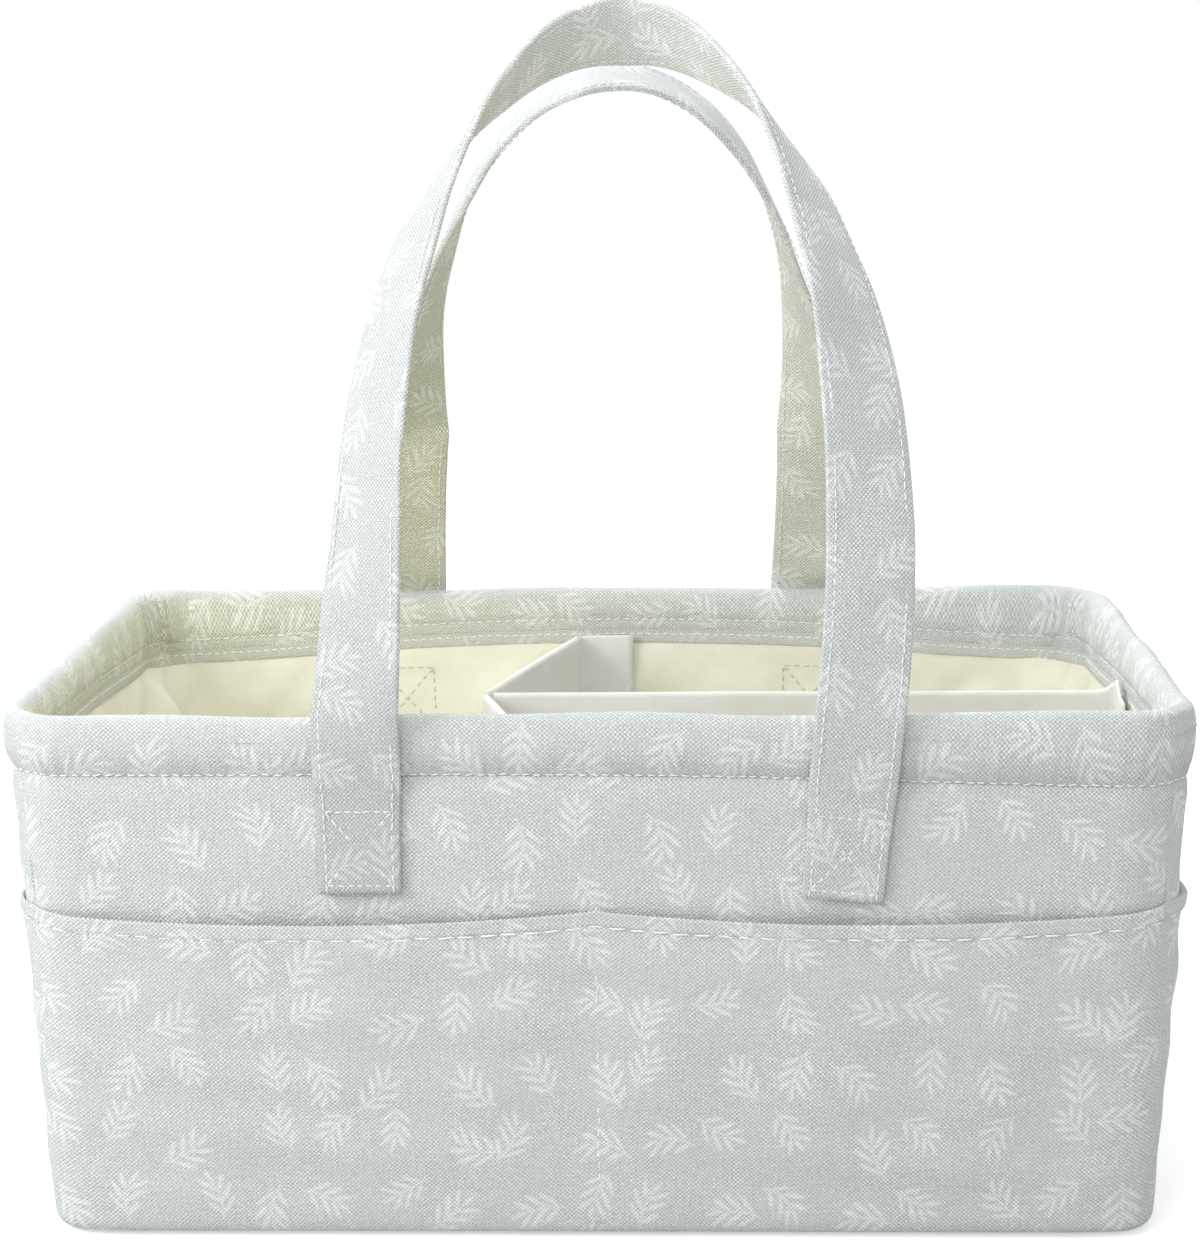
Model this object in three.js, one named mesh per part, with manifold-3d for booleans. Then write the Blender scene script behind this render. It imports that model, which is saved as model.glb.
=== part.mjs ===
// Diaper caddy: an open-top canvas box with a padded rim, four outside pockets,
// two sewn-on ribbon handles and a lift-out Y-shaped divider.
// Millimetres. +X runs along the length, -Y is the front, +Z is up, and z = 0 is the underside.

import * as THREE from 'three';
import { mergeVertices } from 'three/addons/utils/BufferGeometryUtils.js';
import Module from 'manifold-3d';

const wasm = await Module();
wasm.setup();

// Body
const rimHeight = 172;
const rimWidth = 375;
const rimDepth = 228.6;
const baseWidth = 354;
const baseDepth = 214.6;
const cornerRadius = 24;
const bottomFillet = 7;

// Clearances
const seatGap = 0.3;
const cornerSeamGap = 0.5;
const cutOverrun = 5;

// Wall and floor layers
const canvasThickness = 1.2;
const liningThickness = 0.8;
const stiffenerThickness = 4.5;
const baseBoardThickness = 3;
const wallTopBelowRim = 9.6;

// Padded rim
const rimBulge = 0.7;
const rimRollHeight = 8;
const rimSkirtOutside = 18;
const rimSkirtInside = 15;
const foamEdgeHeight = 0.6;
const bindingTapeHeight = 3.7;
const bindingTapeThickness = 0.8;

// Pockets
const pocketThickness = 1.4;
const pocketHeight = 110;
const frontPocketSag = 4;
const sidePocketSag = 2;
const frontPocketStandoff = 7;
const sidePocketStandoff = 7.5;
const frontBayShapeShare = 0.75;
const sideBayShapeShare = 1.6;
const pocketRiseShare = 1.4;

// Handles
const strapWidth = 27.4;
const strapEndWidth = 25.6;
const strapThickness = 2.4;
const strapBevel = 0.6;
const strapEndBelowRim = 52.5;
const strapHingeBelowRim = 28.4;
const strapRimClearance = 1.8;
const frontArchHalfSpan = 77.3;
const frontArchRise = 207.4;
const frontArchPowerShare = 3.08;
const frontSwayAtRim = 4.2;
const frontSwayAtApex = 8.8;
const frontTwist = THREE.MathUtils.degToRad(146);
const frontTwistStartShare = -0.1;
const frontLeftEarlyTwist = THREE.MathUtils.degToRad(18);
const earlyTwistReachShare = 0.65;
const earlyTwistPowerShare = 0.6;
const frontLeftTwistPowerShare = 1.78;
const frontRightTwistPowerShare = 1.92;
const frontRightTilt = THREE.MathUtils.degToRad(4.8);
const backArchHalfSpan = 76.5;
const backArchRise = 202.8;
const backArchPowerShare = 2.61;
const backSwayAtRim = -3.1;
const backSwayAtApex = 3.3;
const backTwist = THREE.MathUtils.degToRad(170);
const backTwistStartShare = 0.05;
const backLeftTwistPowerShare = 0.9;
const backRightTwistPowerShare = 1.02;
const standOffPowerShare = 1.3;
const leanPowerShare = 2.6;
const swayPowerShare = 5;
const handleGap = 1.6;

// Divider
const dividerTopBelowRim = 17;
const dividerBoardThickness = 1.2;
const dividerCoverThickness = 0.6;
const foldX = -40;
const wingAngle = THREE.MathUtils.degToRad(74.5);
const flapWidth = 20;
const flapThickness = 1.2;
const boardMargin = 2.5;
const hookStripThickness = 0.7;
const loopPatchThickness = 0.6;
const hookStripWidth = 16;
const hookStripHeight = 60;
const hookStripBelowRim = 22;

// Mesh density
const cornerSteps = 4;
const straightSteps = 4;
const pocketStraightSteps = 16;
const pocketRows = 5;
const rimArcSteps = 8;
const strapSteps = 64;
const pathSamples = 240;

// Derived layer places, as insets from the outer face of the wall canvas
const stiffenerInset = canvasThickness + seatGap;
const liningInset = stiffenerInset + stiffenerThickness + seatGap;
const liningFaceInset = liningInset + liningThickness;
const rimSkirtInset = liningFaceInset + seatGap;
const rimInnerInset = rimSkirtInset + canvasThickness;
const hookInset = rimInnerInset + seatGap;
const flapInset = hookInset + hookStripThickness + seatGap;
const flapFaceInset = flapInset + flapThickness;

// Derived heights
const baseSeamHeight = canvasThickness + seatGap;
const baseBoardTop = baseSeamHeight + baseBoardThickness;
const liningFloorBottom = baseBoardTop + seatGap;
const liningFloorTop = liningFloorBottom + liningThickness;
const wallTop = rimHeight - wallTopBelowRim;
const bandFoot = rimHeight - rimSkirtOutside;
const hingeHeight = rimHeight - strapHingeBelowRim;
const dividerBottom = liningFloorTop + seatGap;
const dividerTop = rimHeight - dividerTopBelowRim;
const dividerThickness = dividerBoardThickness + 2 * seatGap + 2 * dividerCoverThickness;

const colours = {
  canvas: '#cdd5d4',
  lining: '#ebe8d2',
  divider: '#e6e6df',
  board: '#b9a98a',
  foam: '#f1f0ea',
  tape: '#e4e4de',
  hookTape: '#dcdcd4',
};

const model = new THREE.Group();

function addPart(name, geometry, colour) {
  const material = new THREE.MeshStandardMaterial({ color: colour, roughness: 0.9, metalness: 0 });
  const mesh = new THREE.Mesh(facingOut(geometry), material);
  mesh.name = name;
  model.add(mesh);
}

// Geometry helpers

function signedVolume(positions, indices) {
  const a = new THREE.Vector3();
  const b = new THREE.Vector3();
  const c = new THREE.Vector3();
  let sixVolumes = 0;
  for (let i = 0; i < indices.length; i += 3) {
    a.fromArray(positions, 3 * indices[i]);
    b.fromArray(positions, 3 * indices[i + 1]);
    c.fromArray(positions, 3 * indices[i + 2]);
    sixVolumes += a.dot(b.cross(c));
  }
  return sixVolumes / 6;
}

function facingOut(geometry) {
  const positions = geometry.attributes.position.array;
  const indices = Array.from(geometry.index.array);
  if (signedVolume(positions, indices) < 0) {
    for (let i = 0; i < indices.length; i += 3) {
      [indices[i], indices[i + 1]] = [indices[i + 1], indices[i]];
    }
    geometry.setIndex(indices);
  }
  geometry.computeVertexNormals();
  return geometry;
}

function indexedGeometry(positions, indices) {
  const geometry = new THREE.BufferGeometry();
  geometry.setAttribute('position', new THREE.Float32BufferAttribute(positions, 3));
  geometry.setIndex(indices);
  return geometry;
}

// A closed body between two matching grids of points, each a list of rows.
// With ring set, the last column of a row joins the first.
function bodyBetween(outer, inner, ring = false) {
  const rows = outer.length;
  const columns = outer[0].length;
  const positions = [outer, inner].flat(2).flatMap((point) => point.toArray());
  const indices = [];
  const at = (layer, row, column) => (layer * rows + row) * columns + (column % columns);
  const quad = (a, b, c, d) => indices.push(a, b, c, a, c, d);
  const lastColumn = columns - 1;
  const spans = ring ? columns : lastColumn;
  const lastRow = rows - 1;
  for (let column = 0; column < spans; column += 1) {
    const next = column + 1;
    for (let row = 0; row < lastRow; row += 1) {
      const above = row + 1;
      quad(at(0, row, column), at(0, row, next), at(0, above, next), at(0, above, column));
      quad(at(1, row, column), at(1, above, column), at(1, above, next), at(1, row, next));
    }
    quad(at(1, 0, column), at(1, 0, next), at(0, 0, next), at(0, 0, column));
    quad(at(0, lastRow, column), at(0, lastRow, next), at(1, lastRow, next), at(1, lastRow, column));
  }
  for (let row = 0; row < lastRow && !ring; row += 1) {
    const above = row + 1;
    quad(at(0, row, 0), at(0, above, 0), at(1, above, 0), at(1, row, 0));
    quad(at(0, row, lastColumn), at(1, row, lastColumn), at(1, above, lastColumn), at(0, above, lastColumn));
  }
  return indexedGeometry(positions, indices);
}

// A body with straight walls from a lower outline to an upper one with as many points.
function loft(lower, upper, lowZ, highZ) {
  const count = lower.length;
  const positions = [];
  lower.forEach((point) => positions.push(point.x, point.y, lowZ));
  upper.forEach((point) => positions.push(point.x, point.y, highZ));
  const indices = [];
  for (const [a, b, c] of THREE.ShapeUtils.triangulateShape(lower, [])) {
    indices.push(a, c, b);
    indices.push(a + count, b + count, c + count);
  }
  for (let i = 0; i < count; i += 1) {
    const next = (i + 1) % count;
    indices.push(i, next, next + count, i, next + count, i + count);
  }
  return indexedGeometry(positions, indices);
}

// A strip of constant section swept through frames of point, across and outward directions.
function sweep(frames, section) {
  const count = section.length;
  const positions = frames.flatMap((frame) =>
    section.flatMap(([across, outward]) =>
      frame.point.clone()
        .addScaledVector(frame.across, across)
        .addScaledVector(frame.outward, outward)
        .toArray()));
  const indices = [];
  const last = (frames.length - 1) * count;
  for (let ring = 0; ring < last; ring += count) {
    for (let i = 0; i < count; i += 1) {
      const next = (i + 1) % count;
      indices.push(ring + i, ring + next, ring + next + count);
      indices.push(ring + i, ring + next + count, ring + i + count);
    }
  }
  for (let i = 1; i < count - 1; i += 1) {
    indices.push(0, i + 1, i);
    indices.push(last, last + i, last + i + 1);
  }
  return indexedGeometry(positions, indices);
}

function toManifold(geometry) {
  const merged = mergeVertices(facingOut(geometry).clone().deleteAttribute('normal'));
  return new wasm.Manifold(new wasm.Mesh({
    numProp: 3,
    vertProperties: new Float32Array(merged.attributes.position.array),
    triVerts: new Uint32Array(merged.index.array),
  }));
}

function fromManifold(solid) {
  const mesh = solid.getMesh();
  return indexedGeometry(Array.from(mesh.vertProperties), Array.from(mesh.triVerts));
}

// Wall outline

function halfWidthAt(z) {
  return THREE.MathUtils.lerp(baseWidth, rimWidth, z / rimHeight) / 2;
}

function halfDepthAt(z) {
  return THREE.MathUtils.lerp(baseDepth, rimDepth, z / rimHeight) / 2;
}

// How far the wall has curved in towards the floor at height z.
function bottomInset(z) {
  const below = Math.max(0, bottomFillet - z);
  return bottomFillet - Math.sqrt(bottomFillet ** 2 - below ** 2);
}

// A point of one wall at height z, moved in from the canvas face by inset.
// turns counts quarter turns from the front: 0 front, 1 right, 2 back, 3 left. station runs
// 0 to 1 along half of the first corner, 1 to 2 along the flat and 2 to 3 along half of the next.
function wallPoint(turns, station, z, inset) {
  const across = turns % 2 === 0;
  const halfLength = across ? halfWidthAt(z) : halfDepthAt(z);
  const halfSpread = across ? halfDepthAt(z) : halfWidthAt(z);
  const flat = halfLength - cornerRadius;
  const eighth = Math.PI / 4;
  const onFlat = THREE.MathUtils.clamp(station - 1, 0, 1);
  const corner = Math.max(0, station - 2) - Math.max(0, 1 - station);
  const angle = corner * eighth - Math.PI / 2;
  const centreX = THREE.MathUtils.lerp(-flat, flat, onFlat);
  const radius = cornerRadius - inset;
  const point = new THREE.Vector3(
    centreX + radius * Math.cos(angle),
    -(halfSpread - cornerRadius) + radius * Math.sin(angle),
    z,
  );
  return point.applyAxisAngle(new THREE.Vector3(0, 0, 1), turns * 2 * eighth);
}

const halfCornerLength = cornerRadius * Math.PI / 4;

function sideStations(steps, gap = cornerSeamGap) {
  const trim = gap / 2 / halfCornerLength;
  const stations = [];
  for (let i = 0; i < cornerSteps; i += 1) {
    stations.push(THREE.MathUtils.lerp(trim, 1, i / cornerSteps));
  }
  for (let i = 0; i < steps; i += 1) {
    stations.push(1 + i / steps);
  }
  for (let i = 0; i <= cornerSteps; i += 1) {
    stations.push(THREE.MathUtils.lerp(2, 3 - trim, i / cornerSteps));
  }
  return stations;
}

function wallRow(turns, stations, z, insetOf) {
  return stations.map((station) => wallPoint(turns, station, z, insetOf(station, z)));
}

// One wall layer between two insets, each a function of station and height.
function wallLayer(turns, heights, outerInset, innerInset, steps = straightSteps) {
  const stations = sideStations(steps);
  return bodyBetween(
    heights.map((z) => wallRow(turns, stations, z, outerInset)),
    heights.map((z) => wallRow(turns, stations, z, innerInset)),
  );
}

// All four walls as one closed loop of points.
function ringRow(z, inset) {
  const points = [];
  for (let turns = 0; turns < 4; turns += 1) {
    const stations = sideStations(straightSteps, 0);
    stations.pop();
    points.push(...wallRow(turns, stations, z, () => inset));
  }
  return points;
}

function ringOutline(z, inset) {
  return ringRow(z, inset).map((point) => new THREE.Vector2(point.x, point.y));
}

// Box walls and floor

const sides = ['front', 'right', 'back', 'left'];
const filletHeights = [baseSeamHeight, bottomFillet * 0.38, bottomFillet * 0.62, bottomFillet];

function buildWalls() {
  sides.forEach((side, turns) => {
    addPart(`outer_${side}_panel`, wallLayer(
      turns,
      [...filletHeights, bandFoot - seatGap],
      (station, z) => bottomInset(z),
      (station, z) => bottomInset(z) + canvasThickness,
    ), colours.canvas);
    addPart(`stiffener_${side}`, wallLayer(
      turns,
      [liningFloorBottom, bottomFillet, wallTop],
      (station, z) => bottomInset(z) + stiffenerInset,
      () => stiffenerInset + stiffenerThickness,
    ), colours.foam);
    addPart(`lining_${side}`, wallLayer(
      turns,
      [dividerBottom, wallTop],
      () => liningInset,
      () => liningFaceInset,
    ), colours.lining);
  });
}

function buildFloor() {
  addPart('outer_base_panel', loft(
    ringOutline(0, bottomFillet),
    ringOutline(canvasThickness, bottomInset(canvasThickness)),
    0,
    canvasThickness,
  ), colours.canvas);
  const boardInset = bottomInset(baseSeamHeight) + stiffenerInset;
  addPart('base_board', loft(
    ringOutline(baseSeamHeight, boardInset),
    ringOutline(baseBoardTop, boardInset),
    baseSeamHeight,
    baseBoardTop,
  ), colours.board);
  addPart('lining_floor', loft(
    ringOutline(liningFloorBottom, liningInset),
    ringOutline(liningFloorTop, liningInset),
    liningFloorBottom,
    liningFloorTop,
  ), colours.lining);
}

// Padded rim: a canvas strip, sewn edge to edge to the wall canvas and folded over a foam roll

const rollOuterInset = -rimBulge;
const rollCentreInset = (rollOuterInset + rimInnerInset) / 2;
const rollHalfWidth = (rimInnerInset - rollOuterInset) / 2;

// The half ellipse of the roll, shrunk by a margin, from its outer foot to its inner one.
function rollArc(margin, footLift = 0) {
  const halfWidth = rollHalfWidth - margin;
  const height = rimRollHeight - margin;
  const points = [];
  for (let i = 0; i <= rimArcSteps; i += 1) {
    const angle = Math.PI * i / rimArcSteps;
    const rise = Math.max(footLift, height * Math.sin(angle));
    points.push([rollCentreInset - halfWidth * Math.cos(angle), rimHeight - rimRollHeight + rise]);
  }
  return points;
}

function bandProfile(outerFoot, innerFoot, margin) {
  return [
    [outerFoot, bandFoot],
    ...rollArc(margin),
    [innerFoot, rimHeight - rimSkirtInside],
  ];
}

function profileRows(profile) {
  return profile.map(([inset, z]) => ringRow(z, inset));
}

function buildRim() {
  addPart('rim_band', bodyBetween(
    profileRows(bandProfile(0, rimInnerInset, 0)),
    profileRows(bandProfile(canvasThickness, rimSkirtInset, canvasThickness)),
    true,
  ), colours.canvas);
  const dome = rollArc(canvasThickness + seatGap, foamEdgeHeight);
  const foamBottom = rimHeight - rimRollHeight;
  addPart('rim_foam_core', bodyBetween(
    profileRows(dome),
    profileRows(dome.map(([inset]) => [inset, foamBottom])),
    true,
  ), colours.foam);
  const tapeTop = rimHeight - rimSkirtInside - seatGap;
  const tapeHeights = [tapeTop - bindingTapeHeight, tapeTop];
  addPart('rim_binding_tape', bodyBetween(
    tapeHeights.map((z) => ringRow(z, rimSkirtInset)),
    tapeHeights.map((z) => ringRow(z, rimSkirtInset + bindingTapeThickness)),
    true,
  ), colours.tape);
}

// Pockets

// How slack a pocket is at a station: 0 at its sewn edges and 1 in the middle of each bay.
function baySlack(station, bays, turns, shapeShare) {
  const halfLength = turns % 2 === 0 ? halfWidthAt(pocketHeight) : halfDepthAt(pocketHeight);
  const flat = 2 * (halfLength - cornerRadius);
  const total = flat + 2 * halfCornerLength;
  const along = Math.min(station, 1) * halfCornerLength
    + THREE.MathUtils.clamp(station - 1, 0, 1) * flat
    + Math.max(0, station - 2) * halfCornerLength;
  const inBay = (bays * along / total) % 1;
  return Math.abs(Math.sin(Math.PI * inBay)) ** shapeShare;
}

function buildPocket(name, turns, bays, sag, standoff, shapeShare) {
  const stations = sideStations(pocketStraightSteps);
  const bottom = baseSeamHeight;
  const rowAt = (share, outward) => stations.map((station) => {
    const slack = baySlack(station, bays, turns, shapeShare);
    const top = pocketHeight - sag * slack;
    const z = THREE.MathUtils.lerp(bottom, top, share);
    const stand = seatGap + outward + standoff * slack * share ** pocketRiseShare;
    return wallPoint(turns, station, z, bottomInset(z) - stand);
  });
  const shares = [0, bottomFillet * 0.4 / pocketHeight, bottomFillet / pocketHeight];
  for (let row = 1; row <= pocketRows; row += 1) {
    shares.push(THREE.MathUtils.lerp(bottomFillet / pocketHeight, 1, row / pocketRows));
  }
  addPart(name, bodyBetween(
    shares.map((share) => rowAt(share, pocketThickness)),
    shares.map((share) => rowAt(share, 0)),
  ), colours.canvas);
}

function buildPockets() {
  buildPocket('front_pocket', 0, 2, frontPocketSag, frontPocketStandoff, frontBayShapeShare);
  buildPocket('right_pocket', 1, 1, sidePocketSag, sidePocketStandoff, sideBayShapeShare);
  buildPocket('back_pocket', 2, 2, frontPocketSag, frontPocketStandoff, frontBayShapeShare);
  buildPocket('left_pocket', 3, 1, sidePocketSag, sidePocketStandoff, sideBayShapeShare);
}

// Handles

// Each handle's own sizes. facing is -1 for the handle on the front wall and 1 for the back one.
// Keys -1 and 1 stand for the left and right leg.
const handles = [
  {
    name: 'front',
    facing: -1,
    halfSpan: frontArchHalfSpan,
    rise: frontArchRise,
    power: frontArchPowerShare,
    swayAtRim: frontSwayAtRim,
    swayAtApex: frontSwayAtApex,
    tilts: { '-1': 0, 1: frontRightTilt },
    twist: frontTwist,
    twistStart: frontTwistStartShare,
    twistPowers: { '-1': frontLeftTwistPowerShare, 1: frontRightTwistPowerShare },
    earlyTwists: { '-1': frontLeftEarlyTwist, 1: 0 },
  },
  {
    name: 'back',
    facing: 1,
    halfSpan: backArchHalfSpan,
    rise: backArchRise,
    power: backArchPowerShare,
    swayAtRim: backSwayAtRim,
    swayAtApex: backSwayAtApex,
    tilts: { '-1': 0, 1: 0 },
    twist: backTwist,
    twistStart: backTwistStartShare,
    twistPowers: { '-1': backLeftTwistPowerShare, 1: backRightTwistPowerShare },
    earlyTwists: { '-1': 0, 1: 0 },
  },
];

const strapHalf = strapWidth / 2;
const strapCentreOut = seatGap + strapThickness / 2;
const hingeOut = halfDepthAt(hingeHeight) + strapCentreOut;
const rimOut = rimDepth / 2 + rimBulge + strapRimClearance + strapThickness / 2;

// How far from the middle plane the top of a handle lies, so that it just clears the other one.
function apexOut(handle) {
  return handleGap / 2 + strapHalf * Math.sin(handle.twist)
    + strapThickness / 2 * Math.abs(Math.cos(handle.twist));
}

// How far from the middle plane the strap's centre lies at height z.
function strapOut(handle, z) {
  if (z < rimHeight) {
    const up = (z - hingeHeight) / (rimHeight - hingeHeight);
    return THREE.MathUtils.lerp(hingeOut, rimOut, Math.sin(Math.PI / 2 * up) ** standOffPowerShare);
  }
  const share = (z - rimHeight) / handle.rise;
  return THREE.MathUtils.lerp(rimOut, apexOut(handle), share ** leanPowerShare);
}

// The strap's centre on one leg, side -1 left or 1 right, at height z.
function legX(handle, side, z) {
  const share = Math.max(0, z - rimHeight) / handle.rise;
  const span = handle.halfSpan * Math.sqrt(Math.max(0, 1 - share ** handle.power));
  const sway = THREE.MathUtils.lerp(handle.swayAtRim, handle.swayAtApex, 1 - (1 - share) ** swayPowerShare);
  const tilted = Math.min(0, z - rimHeight) * Math.tan(handle.tilts[side]);
  return side * (span + tilted) + sway;
}

function legPoints(handle, side, startHeight) {
  const points = [];
  const heights = [];
  for (let i = 0; i < pathSamples; i += 1) {
    heights.push(THREE.MathUtils.lerp(startHeight, rimHeight, i / pathSamples));
  }
  for (let i = 0; i <= pathSamples; i += 1) {
    heights.push(rimHeight + handle.rise * Math.sin(Math.PI / 2 * i / pathSamples));
  }
  for (const z of heights) {
    points.push(new THREE.Vector3(legX(handle, side, z), handle.facing * strapOut(handle, z), z));
  }
  return points;
}

// The whole strap as frames at equal steps, twisting from flat on the wall to lying back on top.
function handleFrames(handle) {
  const left = legPoints(handle, -1, hingeHeight + seatGap);
  const right = legPoints(handle, 1, hingeHeight + seatGap).reverse();
  const dense = [...left, ...right.slice(1)];
  const lengths = [0];
  for (let i = 1; i < dense.length; i += 1) {
    lengths.push(lengths[i - 1] + dense[i].distanceTo(dense[i - 1]));
  }
  const total = lengths.at(-1);
  const apexAt = lengths[left.length - 1];
  const leftRimAt = lengths[pathSamples];
  const rightRimAt = lengths[dense.length - 1 - pathSamples];
  const pointAt = (length) => {
    const after = Math.min(dense.length - 1, Math.max(1, lengths.findIndex((value) => value >= length)));
    const share = (length - lengths[after - 1]) / (lengths[after] - lengths[after - 1]);
    return dense[after - 1].clone().lerp(dense[after], share);
  };
  const nudge = total / strapSteps / 2;
  const frames = [];
  for (let i = 0; i <= strapSteps; i += 1) {
    const length = total * i / strapSteps;
    const before = pointAt(Math.max(0, length - nudge));
    const tangent = pointAt(Math.min(total, length + nudge)).sub(before).normalize();
    const side = length < apexAt ? -1 : 1;
    const rimAt = side < 0 ? leftRimAt : rightRimAt;
    const climb = (length - rimAt) / (apexAt - rimAt);
    const turned = Math.max(0, (climb - handle.twistStart) / (1 - handle.twistStart));
    const early = THREE.MathUtils.clamp(climb / earlyTwistReachShare, 0, 1) ** earlyTwistPowerShare;
    const twist = handle.twist * turned ** handle.twistPowers[side]
      + handle.earlyTwists[side] * Math.sin(Math.PI * early);
    const outward = new THREE.Vector3(0, handle.facing, 0);
    outward.addScaledVector(tangent, -outward.dot(tangent)).normalize();
    outward.applyAxisAngle(tangent, handle.facing * twist);
    const across = new THREE.Vector3().crossVectors(tangent, outward);
    frames.push({ point: pointAt(length), across, outward });
  }
  return frames;
}

const strapSection = [
  [-strapHalf, -strapThickness / 2 + strapBevel],
  [-strapHalf + strapBevel, -strapThickness / 2],
  [strapHalf - strapBevel, -strapThickness / 2],
  [strapHalf, -strapThickness / 2 + strapBevel],
  [strapHalf, strapThickness / 2 - strapBevel],
  [strapHalf - strapBevel, strapThickness / 2],
  [-strapHalf + strapBevel, strapThickness / 2],
  [-strapHalf, strapThickness / 2 - strapBevel],
];

// The flat end of a strap, sewn to the wall below the line where it folds.
function strapEnd(handle, side) {
  const tilt = side * handle.tilts[side];
  const length = strapEndBelowRim - strapHingeBelowRim;
  const topX = legX(handle, side, hingeHeight);
  const rows = [[-length, strapEndWidth / 2], [0, strapHalf]];
  const gridAt = (outward) => rows.map(([along, reach]) =>
    [-reach, reach].map((across) => {
      const x = topX + along * Math.sin(tilt) + across * Math.cos(tilt);
      const z = hingeHeight + along * Math.cos(tilt) - across * Math.sin(tilt);
      return new THREE.Vector3(x, handle.facing * (halfDepthAt(z) + seatGap + outward), z);
    }));
  return bodyBetween(gridAt(strapThickness), gridAt(0));
}

function buildHandles() {
  for (const handle of handles) {
    addPart(`${handle.name}_handle`, sweep(handleFrames(handle), strapSection), colours.canvas);
    addPart(`${handle.name}_handle_left_end`, strapEnd(handle, -1), colours.canvas);
    addPart(`${handle.name}_handle_right_end`, strapEnd(handle, 1), colours.canvas);
  }
}

// Divider: covered boards that meet at a vertical fold, with flaps turned flat along the walls

const half = dividerThickness / 2;
const coverAndGap = dividerCoverThickness + seatGap;

// The face of a flap along the right wall, or along the front or back wall, at height z.
function flapFaceX(z) {
  return halfWidthAt(z) - flapFaceInset;
}

function flapFaceY(z) {
  return halfDepthAt(z) - flapFaceInset;
}

// A wing's own directions in plan: along its length and out from the side away from the long panel.
const wingAlong = new THREE.Vector2(Math.cos(wingAngle), Math.sin(wingAngle));
const wingOut = new THREE.Vector2(-wingAlong.y, wingAlong.x);
const foldCorner = new THREE.Vector2(foldX, half + seatGap / 2);

// A point of a wing in plan, by its distance along and its depth from the face by the long panel.
function wingPoint(along, depth) {
  return foldCorner.clone().addScaledVector(wingAlong, along).addScaledVector(wingOut, depth);
}

// The distance along a wing, at a depth from its inner face, that reaches a plane of constant y.
function wingReach(y, depth) {
  return (y - foldCorner.y - wingOut.y * depth) / wingAlong.y;
}

function longOutline(z) {
  const face = flapFaceX(z);
  const wall = face + flapThickness;
  return [
    new THREE.Vector2(foldX, -half),
    new THREE.Vector2(face, -half),
    new THREE.Vector2(face, -half - flapWidth),
    new THREE.Vector2(wall, -half - flapWidth),
    new THREE.Vector2(wall, half),
    new THREE.Vector2(foldX, half),
  ];
}

function longBoardOutline(z, margin) {
  const end = flapFaceX(z) - coverAndGap + margin;
  const start = foldX + boardMargin - margin;
  const side = dividerBoardThickness / 2 + margin;
  return [
    new THREE.Vector2(start, -side),
    new THREE.Vector2(end, -side),
    new THREE.Vector2(end, side),
    new THREE.Vector2(start, side),
  ];
}

function wingOutline(z) {
  const face = flapFaceY(z);
  const wall = face + flapThickness;
  const innerEnd = wingPoint(wingReach(face, 0), 0);
  const outerEnd = wingPoint(wingReach(wall, dividerThickness), dividerThickness);
  const flapEnd = innerEnd.x + flapWidth;
  return [
    wingPoint(seatGap, dividerThickness),
    wingPoint(seatGap, 0),
    innerEnd,
    new THREE.Vector2(flapEnd, face),
    new THREE.Vector2(flapEnd, wall),
    outerEnd,
  ];
}

function wingBoardOutline(z, margin) {
  const near = coverAndGap - margin;
  const far = dividerThickness - coverAndGap + margin;
  const start = seatGap + boardMargin - margin;
  const limit = flapFaceY(z) - coverAndGap + margin;
  return [
    wingPoint(start, far),
    wingPoint(start, near),
    wingPoint(wingReach(limit, near), near),
    wingPoint(wingReach(limit, far), far),
  ];
}

// A cover is a sleeve, closed on top and open below, round its board.
function coverGeometry(outline, boardOutline) {
  const shell = toManifold(loft(outline(dividerBottom), outline(dividerTop), dividerBottom, dividerTop));
  const low = dividerBottom - cutOverrun;
  const high = dividerTop - dividerCoverThickness;
  const cavity = toManifold(loft(boardOutline(low, seatGap), boardOutline(high, seatGap), low, high));
  return fromManifold(shell.subtract(cavity));
}

function boardGeometry(boardOutline) {
  const high = dividerTop - coverAndGap;
  return loft(boardOutline(dividerBottom, 0), boardOutline(high, 0), dividerBottom, high);
}

// A thin strip of fastening tape that follows a wall, between two insets.
function tapeOnWall(turns, centre, outerInset, thickness) {
  const top = rimHeight - hookStripBelowRim;
  const heights = [top - hookStripHeight, top];
  const gridAt = (inset) => heights.map((z) => [-1, 1].map((end) => {
    const along = centre + end * hookStripWidth / 2;
    const spread = (turns % 2 === 0 ? halfDepthAt(z) : halfWidthAt(z)) - inset;
    const point = new THREE.Vector3(along, -spread, z);
    return point.applyAxisAngle(new THREE.Vector3(0, 0, 1), turns * Math.PI / 2);
  }));
  return bodyBetween(gridAt(outerInset), gridAt(outerInset + thickness));
}

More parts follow.
